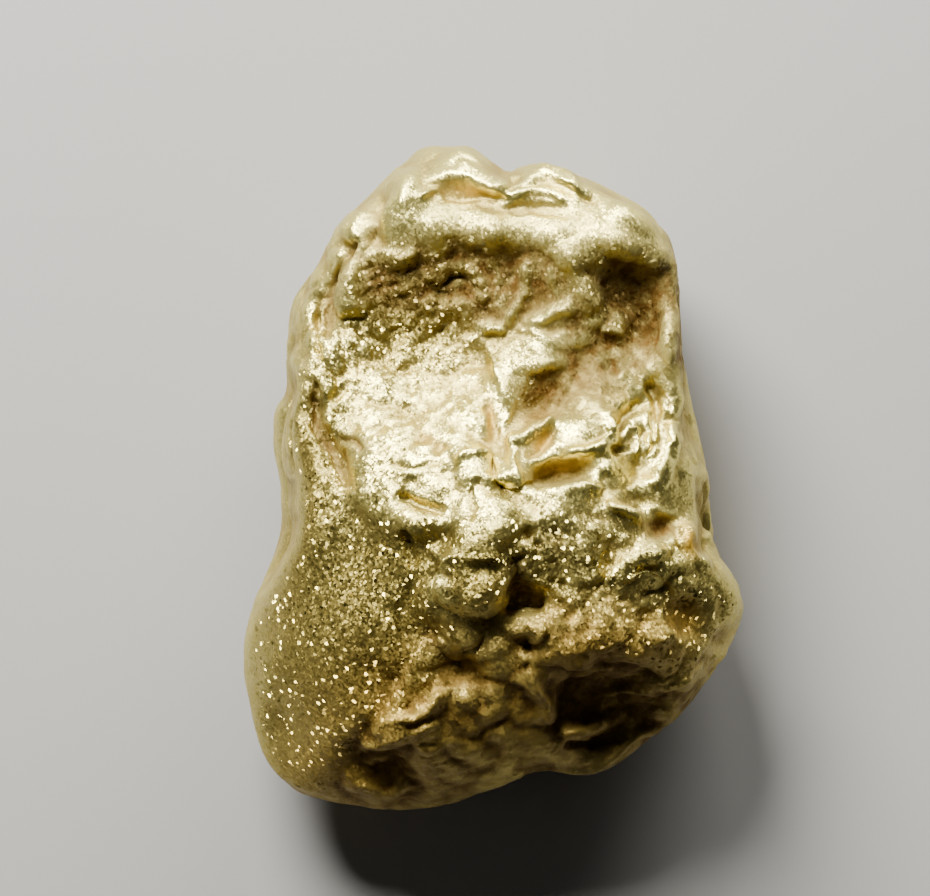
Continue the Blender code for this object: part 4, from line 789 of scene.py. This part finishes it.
def distance_along(points, path):
    """Each point's distance to a path, and how far along it that is, 0 to 1."""
    line = rounded_path(path)
    start, step = line[:-1], np.diff(line, axis=0)
    length = np.linalg.norm(step, axis=1)
    offset = points[:, None] - start
    t = np.clip((offset * step).sum(2) / length ** 2, 0, 1)
    gap = np.linalg.norm(offset - t[:, :, None] * step, axis=2)
    nearest = gap.argmin(1)
    rows = np.arange(len(points))
    done = np.append(0, np.cumsum(length))[nearest] + t[rows, nearest] * length[nearest]
    return gap[rows, nearest], done / length.sum()


def lump_lift(points, lump):
    """A bell over an ellipse: full height in the middle, nothing past its edge."""
    turn = math.radians(lump.turn)
    x, y = points[:, 0] - lump.x, points[:, 1] - lump.y
    u = (x * math.cos(turn) + y * math.sin(turn)) / lump.across
    v = (y * math.cos(turn) - x * math.sin(turn)) / lump.along
    return lump.height * np.exp(-(u * u + v * v) ** BELL_FULLNESS)


def stroke_lift(points, stroke, path=None):
    """A rounded bar along a path that thins out towards both its ends."""
    path = np.array(stroke.path) if path is None else path
    margin = STROKE_MARGIN * stroke.width
    places = points[:, :path.shape[1]]
    near = ((places > path.min(0) - margin) & (places < path.max(0) + margin)).all(1)
    gap, share = distance_along(places[near], path)
    taper = np.sqrt(np.clip(STROKE_TAPER * share * (1 - share), 0, 1))
    lift = np.zeros(len(points))
    lift[near] = stroke.height * taper * np.exp(-(gap / stroke.width) ** 2)
    return lift


def lumps_lift(points, drawn):
    """What all the lumps drawn add up to at each point."""
    return sum(lump_lift(points, lump) for lump in drawn)


def strokes_lift(points, drawn):
    """What all the strokes drawn add up to at each point."""
    return sum(stroke_lift(points, stroke) for stroke in drawn)


def vertex_normals(points, faces):
    """Unit normal of each vertex: the mean of the turns at its faces' corners."""
    total = np.zeros_like(points)
    count = faces.shape[1]
    for i in range(count):
        here = points[faces[:, i]]
        turn = np.cross(points[faces[:, (i + 1) % count]] - here, points[faces[:, i - 1]] - here)
        for axis in range(3):
            total[:, axis] += np.bincount(faces[:, i], turn[:, axis], len(points))
    return total / np.linalg.norm(total, axis=1, keepdims=True)


def calmed(values, faces, rounds):
    """Values evened out over the skin: each round mixes in the mean of the neighbours."""
    count = faces.shape[1]
    here = faces.ravel()
    there = faces[:, [(i + 1) % count for i in range(count)]].ravel()
    near = np.bincount(here, minlength=len(values))
    for _ in range(rounds):
        total = [np.bincount(here, column[there], len(values)) for column in values.T]
        values = (values + np.column_stack(total) / near[:, None]) / 2
    return values


def calm_normals(points, faces, rounds):
    """Unit normals of the skin, calmed so that they stay even over small detail."""
    normals = calmed(vertex_normals(points, faces), faces, rounds)
    return normals / np.linalg.norm(normals, axis=1, keepdims=True)


def fade(values, bounds):
    """0 at the first bound, rising evenly to 1 at the second."""
    start, end = bounds
    return np.clip((values - start) / (end - start), 0, 1)


def rough_body(sphere):
    """The nugget without its detail: outline across, heights of both faces up."""
    angle = np.arctan2(sphere[:, 1], sphere[:, 0])
    reach = np.clip(np.hypot(sphere[:, 0], sphere[:, 1]), 0, 1)
    radius = calm_radius(angle) * reach
    x, y = radius * np.cos(angle), radius * np.sin(angle)
    under = UNDER_RISE_ACROSS * x * x + UNDER_RISE_ALONG * y * y - UNDER_CENTRE_DROP
    for lump in UNDER_LUMPS:
        under = under + lump_lift(np.column_stack((x, y)), lump)
    girdle = girdle_height(x, y)
    rise = np.where(sphere[:, 2] > 0, upper_height(x, y), under - girdle)
    return np.column_stack((x, y, girdle + rise * edge_share(reach)))


def on_skin(points, path):
    """A path's corners, each moved to the nearest point of the skin."""
    corners = np.array(path)
    return np.array([points[((points - corner) ** 2).sum(1).argmin()] for corner in corners])


def knock_lift(points, sphere, shade):
    """Round dents and bumps strewn in random directions, kept where shade, the
    side's share, is high."""
    pick = np.random.default_rng(NOISE_SEED)
    lift = np.zeros(len(points))
    for _ in range(KNOCKS):
        place = points[(sphere @ pick.normal(size=3)).argmax()]
        square = ((points - place) ** 2).sum(1) / pick.uniform(*KNOCK_REACH) ** 2
        lift += pick.uniform(*KNOCK_DEPTH) * np.exp(-square ** BELL_FULLNESS)
    return lift * shade


def pebbles(points, seed):
    """Rounded lumps with sharp creases between them: height falls from 1 with the
    squared distance to the nearest of the random middles, one in each unit cube."""
    middles = np.random.default_rng(seed).uniform(0, 1, (NOISE_CELLS,) * 3 + (3,))
    base = np.floor(points).astype(int)
    nearest = np.full(len(points), np.inf)
    for step in np.ndindex(3, 3, 3):
        cube = base + np.array(step) - 1
        cell = cube % NOISE_CELLS
        middle = cube + middles[cell[:, 0], cell[:, 1], cell[:, 2]]
        nearest = np.minimum(nearest, ((points - middle) ** 2).sum(1))
    return 1 - 2 * nearest


def wavering(points, size, reach):
    """The points moved about by soft noise, so that what is drawn on them wavers."""
    moves = [smooth_noise(points / size + axis * NOISE_SHIFT, NOISE_SEED) for axis in range(3)]
    return points + reach * np.column_stack(moves)


def crumple_lift(points):
    """Lumps and creases where the upper face is crumpled."""
    lifted = pebbles(wavering(points, *CRUMPLE_WAVER) / CRUMPLE_SIZE, NOISE_SEED)
    return lifted * lumps_lift(points, CRUMPLED)


def sculpt(points, faces, sphere):
    """Soft unevenness over the whole skin, then the folds and dents of the sides,
    then the detail of the upper face, all along the calmed normals of the body."""
    normals = calm_normals(points, faces, CALM_ROUNDS)
    above = fade(normals[:, 2], ABOVE_FADE)
    wave = np.zeros(len(points))
    for step, (size, height_above, height_below) in enumerate(UNDULATION):
        height = height_above * above + height_below * (1 - above)
        wave += height * smooth_noise(points / size + NOISE_SHIFT, NOISE_SEED + step)
    points = points + normals * wave[:, None]
    lift = knock_lift(points, sphere, fade(normals[:, 2], SIDE_FADE))
    for seam in SEAMS:
        lift += stroke_lift(points, seam, on_skin(points, seam.path))
    points = points + normals * lift[:, None]
    bent = wavering(points, *STROKE_WAVER)
    lift = lumps_lift(bent, LUMPS) + crumple_lift(points) + strokes_lift(bent, STROKES)
    return points + normals * (lift * fade(normals[:, 2], UPPER_FADE))[:, None]


def trim_to_outline(points):
    """Move the skin in or out so that the body seen from above fills its outline."""
    angle = np.arctan2(points[:, 1], points[:, 0])
    radius = np.hypot(points[:, 0], points[:, 1])
    step = ((angle / (2 * math.pi) + 0.5) * OUTLINE_STEPS).astype(int) % OUTLINE_STEPS
    widest = np.zeros(OUTLINE_STEPS)
    np.maximum.at(widest, step, radius)
    middle = ((np.arange(OUTLINE_STEPS) + 0.5) / OUTLINE_STEPS - 0.5) * 2 * math.pi
    short = outline_radius(middle) / widest
    share = np.interp(angle, middle, short, period=2 * math.pi)
    pull = 1 + (share - 1) * np.clip(radius * share / outline_radius(angle), 0, 1) ** EDGE_PULL
    return np.column_stack((points[:, :2] * pull[:, None], points[:, 2]))


def cube_corners(steps):
    """Corners of the quads on all six sides of a cube, as whole steps along X, Y and Z,
    in the order that turns each quad outwards."""
    ticks = np.arange(steps)
    u, v = (grid.ravel() for grid in np.meshgrid(ticks, ticks, indexing="ij"))
    sides = []
    for axis in range(3):
        for side in (0, steps):
            corners = []
            for du, dv in ((0, 0), (1, 0), (1, 1), (0, 1)):
                place = np.empty((len(u), 3), dtype=int)
                place[:, axis] = side
                place[:, (axis + 1) % 3] = u + du
                place[:, (axis + 2) % 3] = v + dv
                corners.append(place)
            sides.append(np.stack(corners if side else corners[::-1], axis=1))
    return np.concatenate(sides)


def cube_ball(steps, finer_above):
    """A ball of quads without seams. Each side of a cube is a grid of u and v, both
    tan(t * pi / 4) for t from -1 to 1; edges shared by two sides are one row of
    points. Each point is pushed out to the unit ball, and its angle from the top
    shrinks by finer_above times its sine, so the upper face gets the finer grid."""
    corners = cube_corners(steps)
    code = (corners * np.array((1, steps + 1, (steps + 1) ** 2))).sum(2)
    first, quads = np.unique(code, return_index=True, return_inverse=True)[1:]
    cube = corners.reshape(-1, 3)[first] * 2.0 / steps - 1
    cube = np.tan(cube * math.pi / 4)
    ball = cube / np.linalg.norm(cube, axis=1, keepdims=True)
    down = np.arccos(np.clip(ball[:, 2], -1, 1))
    closer = down - finer_above * np.sin(down)
    flat = np.hypot(ball[:, 0], ball[:, 1])
    across = np.sin(closer) / np.where(flat > 0, flat, 1)
    return np.column_stack((ball[:, :2] * across[:, None], np.cos(closer))), quads.reshape(-1, 4)


def fine_lift(points):
    """The upper face's fine relief: the crumple's finer lumps, ridges and pits."""
    bent = wavering(points, *FINE_WAVER)
    lift = lumps_lift(bent, FINE_LUMPS) + strokes_lift(bent, FINE_STROKES)
    ground = lumps_lift(points, FINE_GROUND)
    turn = math.radians(GRAIN_TURN)
    along = bent[:, 0] * math.cos(turn) + bent[:, 1] * math.sin(turn)
    across = bent[:, 1] * math.cos(turn) - bent[:, 0] * math.sin(turn)
    laid = np.column_stack((along / GRAIN_STRETCH, across, bent[:, 2]))
    for size, share in FINE_CRUMPLE:
        lift += share * ground * pebbles(laid / size, NOISE_SEED + 1)
    return lift


def settle(points, size):
    """Bring the skin to its size in millimetres, flat where it has worn underneath."""
    low, high = points.min(0), points.max(0)
    middle = np.array(((low[0] + high[0]) / 2, (low[1] + high[1]) / 2, 0.0))
    span = np.array((high[0] - low[0], high[1] - low[1], high[2]))
    points = (points - middle) * size / span
    points[:, 2] = np.maximum(points[:, 2], 0)
    return points


def skin_fields(points, quads):
    """How hollow, frosted, stained and shaded, rich in amber and crumpled each vertex is, 0 to 1.
    It is hollow where it lies lower than the calmed skin near and wide round it, and
    more so on the flanks; the darker gold that it lays on is painted shade."""
    normals = vertex_normals(points, quads)
    near = ((points - calmed(points, quads, NEAR_ROUNDS)) * normals).sum(1)
    wide = ((points - calmed(points, quads, WIDE_ROUNDS)) * normals).sum(1)
    upward = calmed(normals, quads, NEAR_ROUNDS)[:, 2]
    flank = 1 - fade(upward, FLANK_FADE)
    # Painted shade: hollow is how far the darker low gold is laid on, in recesses and on the flanks
    hollow = np.clip(0.5 - near / NEAR_RISE - wide / WIDE_RISE, 0, 1) + FLANK_SHADE * flank
    frost = np.clip(lumps_lift(points, FROSTED), 0, 1) * fade(upward, FROST_FADE)
    # Painted shade along with the stain: the brown film's share, also laid on the lower end, in the folds and
    # on the flanks
    stain = lumps_lift(points, STAINED_AND_SHADED) + strokes_lift(points, SHADED_FOLDS)
    crumpled = lumps_lift(points, CRUMPLED) / FULLY_CRUMPLED + lumps_lift(points, ROUGH_SKIN)
    fields = {
        "hollow": hollow,
        "frost": frost,
        "stain": stain + FLANK_FILM_SHADE * flank,
        "rich": lumps_lift(points, RICH),
        "crumpled": crumpled + FLANK_CRUMPLE * flank,
    }
    return {name: np.clip(values, 0, 1) for name, values in fields.items()}


def nugget_skin(sizes):
    """Points and quads of the finished skin: the ball made a body, sculpted, given its
    fine relief along its calmed normals, trimmed to the outline and brought to size."""
    sphere, quads = cube_ball(sizes.steps, sizes.front_share)
    points = sculpt(rough_body(sphere), quads, sphere)
    normals = calm_normals(points, quads, FINE_CALM_ROUNDS)
    points = points + normals * (fine_lift(points) * fade(normals[:, 2], UPPER_FADE))[:, None]
    size = np.array((sizes.width, sizes.length, sizes.thickness)) / MM
    return settle(trim_to_outline(points), size), quads


# ---------------------------------------------------------------- materials

def add_node(tree, kind, inputs=(), out=0, **settings):
    """Add a shader node and give one of its outputs. Settings name its properties, and
    inputs, by name or place, are sockets to link from or plain values."""
    node = tree.nodes.new("ShaderNode" + kind)
    for name, value in settings.items():
        setattr(node, name, value)
    for name, value in dict(inputs).items():
        if isinstance(value, bpy.types.NodeSocket):
            tree.links.new(value, node.inputs[name])
        else:
            node.inputs[name].default_value = value
    return node.outputs[out] if node.outputs else node


def scale_of(width_mm):
    """The scale at which a pattern's cells have a width in millimetres."""
    return 1 / (width_mm * MM)


def film_and_shade_share(tree, skin, crumb):
    """Share of the brown film: the stained and shaded places, iron stain in the basins
    and painted shade on the lower end, the folds and the flanks, broken up into
    patches by the crumb and thinned where the gold is worn."""
    settled = add_node(tree, "MapRange", {"Value": skin["hollow"], "To Min": FILM_ON_WORN})
    patchy = add_node(tree, "MapRange", {"Value": crumb, **FILM_PATCHES})
    patches = add_node(tree, "Math", {0: skin["stain"], 1: patchy}, operation="MULTIPLY")
    return add_node(tree, "Math", {0: patches, 1: settled}, operation="MULTIPLY")


def gold_colour(tree, finish, skin, film_and_shade):
    """Worn gold, then laid over it, each by its own share: the darker gold of the
    hollows and flanks and the khaki of the frosted ground, both painted shade; the
    amber, a painted reflection in the small pits and a warmer tone on the lower end;
    and the brown film, iron stain in the basins and painted shade on the lower end,
    the folds and the flanks."""
    colour = (*finish.high, 1)
    layers = ((skin["hollow"], finish.low), (skin["frost"], finish.shaded_frosted_gold),
              (skin["rich"], finish.rich), (film_and_shade, finish.stain))
    for share, over in layers:
        inputs = {"Factor": share, "A": colour, "B": (*over, 1)}
        colour = add_node(tree, "Mix", inputs, "Result", data_type="RGBA")
    return colour


def cell_lean(tree, cell_colour, size):
    """How each cell's face leans: its random colour less a half, times a size."""
    lean = add_node(tree, "VectorMath", {0: cell_colour, 1: (0.5, 0.5, 0.5)}, operation="SUBTRACT")
    return add_node(tree, "VectorMath", {0: lean, "Scale": size}, operation="SCALE")


def grain_lean(tree, finish, skin, place):
    """Crystal grains: each face leans its own way, most on the frosted ground."""
    inputs = {"Vector": place, "Scale": scale_of(finish.grain_mm)}
    grains = add_node(tree, "TexVoronoi", inputs, "Color")
    tilt = {"To Min": LEAST_GRAIN * finish.grain_tilt, "To Max": finish.grain_tilt}
    size = add_node(tree, "MapRange", {"Value": skin["frost"], **tilt})
    return cell_lean(tree, grains, size)


def facet_lean(tree, finish, skin, place):
    """Flats of the crumpled ground, with edges that sway, each leaning its own way."""
    reach = (FACET_SWAY * finish.crumb_mm * MM,) * 3
    sway = add_node(tree, "TexNoise", {"Vector": place, "Scale": scale_of(finish.crumb_mm)}, "Color")
    swayed = add_node(tree, "VectorMath", {0: sway, 1: reach, 2: place}, operation="MULTIPLY_ADD")
    inputs = {"Vector": swayed, "Scale": scale_of(finish.facet_mm)}
    facets = add_node(tree, "TexVoronoi", inputs, "Color")
    size = add_node(tree, "Math", {0: skin["crumpled"], 1: finish.facet_tilt}, operation="MULTIPLY")
    return cell_lean(tree, facets, size)


def flakes(tree, finish, skin, place):
    """Bright flakes strewn over the frosted ground: where they are, and the way each
    faces."""
    inputs = {"Vector": place, "Scale": scale_of(finish.flake_mm)}
    middle = add_node(tree, "TexVoronoi", inputs, "Position")
    draw = add_node(tree, "TexWhiteNoise", {"Vector": middle}, "Value")
    picked = add_node(tree, "Math", {0: draw, 1: finish.flake_share}, operation="LESS_THAN")
    shown = add_node(tree, "Math", {0: picked, 1: skin["frost"]}, operation="MULTIPLY")
    stray = {0: middle.node.outputs["Color"], 1: (FLAKE_STRAY,) * 3,
             2: tuple(np.array(FLAKE_FACING) - FLAKE_STRAY / 2)}
    return shown, add_node(tree, "VectorMath", stray, operation="MULTIPLY_ADD")


def gold_normal(tree, finish, skin, place, crumb, shown, facing):
    """The way the gold faces: bumped by the crumb and leaning with its grains and
    flats, but each flake faces its own way."""
    rough = add_node(tree, "MapRange", {"Value": skin["crumpled"], "To Min": LEAST_CRUMB})
    height = {"Height": crumb, "Strength": rough, "Distance": finish.crumb_height_mm * MM}
    bumped = add_node(tree, "Bump", height)
    leans = {0: grain_lean(tree, finish, skin, place), 1: facet_lean(tree, finish, skin, place)}
    lean = add_node(tree, "VectorMath", leans, operation="ADD")
    turned = add_node(tree, "VectorMath", {0: bumped, 1: lean}, operation="ADD")
    inputs = {"Factor": shown, "A": turned, "B": facing}
    mixed = add_node(tree, "Mix", inputs, "Result", data_type="VECTOR")
    return add_node(tree, "VectorMath", {0: mixed}, operation="NORMALIZE")


def gold_roughness(tree, finish, skin, film_and_shade, shown):
    """Polished where worn, frosted in hollows and on the frosted ground, duller under
    the film and smoother on the flakes."""
    ground = add_node(tree, "Math", {0: skin["hollow"], 1: skin["frost"]}, operation="MAXIMUM")
    ends = {"To Min": finish.polished, "To Max": finish.frosted}
    gloss = add_node(tree, "MapRange", {"Value": ground, **ends})
    dull = add_node(tree, "Math", {0: film_and_shade, 1: FILM_DULLS, 2: gloss}, operation="MULTIPLY_ADD")
    return add_node(tree, "Math", {0: shown, 1: FLAKE_POLISH, 2: dull}, operation="MULTIPLY_ADD")


def native_gold(finish):
    """Native gold, tumbled by a river: high spots burnished to a soft mirror, low
    ground frosted by its crystal grains, which wink where one faces the light, and a
    thin film over the pits, which lets less of the metal through: brown, which is iron
    stain in the basins and painted shade on the lower end, the folds and the flanks,
    and amber, which in the small pits is a painted reflection. Painted shade also
    darkens the gold of the hollows, the flanks and the frosted ground."""
    material = bpy.data.materials.new("native_gold")
    material.use_nodes = True
    tree = material.node_tree
    tree.nodes.clear()
    place = add_node(tree, "TexCoord", out="Object")
    skin = {name: add_node(tree, "Attribute", out="Fac", attribute_name=name)
            for name in ("hollow", "frost", "stain", "rich", "crumpled")}
    noise = {"Vector": place, "Scale": scale_of(finish.crumb_mm), **CRUMB_OCTAVES}
    crumb = add_node(tree, "TexNoise", noise)
    film_and_shade = film_and_shade_share(tree, skin, crumb)
    veiled = add_node(tree, "Math", {0: film_and_shade, 1: skin["rich"]}, operation="MAXIMUM")
    shown, facing = flakes(tree, finish, skin, place)
    surface = add_node(tree, "BsdfPrincipled", {
        "Base Color": gold_colour(tree, finish, skin, film_and_shade),
        "Roughness": gold_roughness(tree, finish, skin, film_and_shade, shown),
        "Normal": gold_normal(tree, finish, skin, place, crumb, shown, facing),
        "Metallic": add_node(
            tree, "MapRange", {"Value": veiled, "To Min": 1.0, "To Max": finish.film_metal}),
        "Specular IOR Level": add_node(
            tree, "MapRange", {"Value": veiled, "To Min": PLAIN_SHEEN, "To Max": finish.film_sheen}),
    })
    add_node(tree, "OutputMaterial", {"Surface": surface})
    return material


def studio_paint(colour):
    """Matt emulsion paint, rolled on: an even, chalky ground with no gloss."""
    material = bpy.data.materials.new("matt_studio_paint")
    material.use_nodes = True
    shader = material.node_tree.nodes["Principled BSDF"]
    shader.inputs["Base Color"].default_value = (*colour, 1)
    shader.inputs["Roughness"].default_value = PAINT_ROUGHNESS
    return material


# ---------------------------------------------------------------- making

def make_object(name, points, quads, material):
    """A smooth-shaded mesh object at the origin, from points in metres."""
    mesh = bpy.data.meshes.new(name)
    mesh.from_pydata(points.tolist(), [], quads.tolist())
    mesh.shade_smooth()
    mesh.materials.append(material)
    made = bpy.data.objects.new(name, mesh)
    bpy.context.scene.collection.objects.link(made)
    return made


class NUGGET_OT_skin(bpy.types.Operator):
    """Make the nugget's skin in native gold"""
    bl_idname = "nugget.skin"
    bl_label = "Make the nugget"

    def execute(self, context):
        settings = context.scene
        points, quads = nugget_skin(settings.nugget_sizes)
        skin = make_object("nugget_skin", points * MM, quads, native_gold(settings.nugget_gold))
        for name, values in skin_fields(points, quads).items():
            layer = skin.data.attributes.new(name, "FLOAT", "POINT")
            layer.data.foreach_set("value", values.astype(np.float32))
        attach(skin, "root")
        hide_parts("nugget")
        return {"FINISHED"}


def add_light(name, place, target, width, power):
    """A round soft light at a place, turned to face its target, unseen itself."""
    lamp = bpy.data.lights.new(name, "AREA")
    lamp.shape = "DISK"
    lamp.size = width
    lamp.energy = power
    light = bpy.data.objects.new(name, lamp)
    bpy.context.scene.collection.objects.link(light)
    light.location = place
    light.rotation_euler = (target - place).to_track_quat("-Z", "Y").to_euler()
    light.visible_camera = False


def add_room(strength):
    """Even white light from all round."""
    world = bpy.data.worlds.new("room")
    world.use_nodes = True
    background = world.node_tree.nodes["Background"]
    background.inputs["Color"].default_value = (1, 1, 1, 1)
    background.inputs["Strength"].default_value = strength
    bpy.context.scene.world = world


def add_camera(height, view_width):
    """A camera that looks straight down on the nugget and covers a width at its girdle."""
    lens = bpy.data.cameras.new("camera")
    lens.sensor_width = SENSOR_WIDTH
    lens.lens = SENSOR_WIDTH * height / view_width
    lens.clip_start = NEAREST_SEEN
    camera = bpy.data.objects.new("camera", lens)
    bpy.context.scene.collection.objects.link(camera)
    camera.location = (LENS_PLACE[0] * MM, LENS_PLACE[1] * MM, GIRDLE_HEIGHT * MM + height)
    bpy.context.scene.camera = camera


class NUGGET_OT_studio(bpy.types.Operator):
    """Lay the floor, hang the lights and set up the camera over the nugget"""
    bl_idname = "nugget.studio"
    bl_label = "Make the studio"

    def execute(self, context):
        studio = context.scene.nugget_studio
        corners = np.array(((-1, -1, 0), (1, -1, 0), (1, 1, 0), (-1, 1, 0)), dtype=float)
        quad = np.array([[0, 1, 2, 3]])
        floor = make_object("floor", corners * FLOOR_REACH, quad, studio_paint(studio.floor_colour))
        add_room(studio.room)
        target = Vector((0, 0, MIDDLE_HEIGHT))
        for name, (place, width) in LIGHTS.items():
            power = getattr(studio, name + "_power")
            add_light(name + "_light", target + Vector(place), target, width, power)
        add_camera(studio.camera_height, studio.view_width)
        return {"FINISHED"}


class NUGGET_PT_panel(bpy.types.Panel):
    """Buttons and settings of the nugget"""
    bl_label = "Gold nugget"
    bl_idname = "NUGGET_PT_panel"
    bl_space_type = "VIEW_3D"
    bl_region_type = "UI"
    bl_category = "Nugget"

    def draw(self, context):
        for group in (context.scene.nugget_sizes, context.scene.nugget_gold, context.scene.nugget_studio):
            column = self.layout.column()
            for name in group.__annotations__:
                column.prop(group, name)
        for operator in (NUGGET_OT_skin, NUGGET_OT_studio):
            self.layout.operator(operator.bl_idname)


CLASSES = (NuggetSizes, GoldFinish, Studio, NUGGET_OT_skin, NUGGET_OT_studio, NUGGET_PT_panel)


def register():
    for kind in CLASSES:
        bpy.utils.register_class(kind)
    bpy.types.Scene.nugget_sizes = PointerProperty(type=NuggetSizes)
    bpy.types.Scene.nugget_gold = PointerProperty(type=GoldFinish)
    bpy.types.Scene.nugget_studio = PointerProperty(type=Studio)


def unregister():
    del bpy.types.Scene.nugget_studio
    del bpy.types.Scene.nugget_gold
    del bpy.types.Scene.nugget_sizes
    for kind in reversed(CLASSES):
        bpy.utils.unregister_class(kind)


def main():
    register()
    bpy.ops.nugget.studio()
    bpy.ops.nugget.skin()


if __name__ == "__main__":
    main()
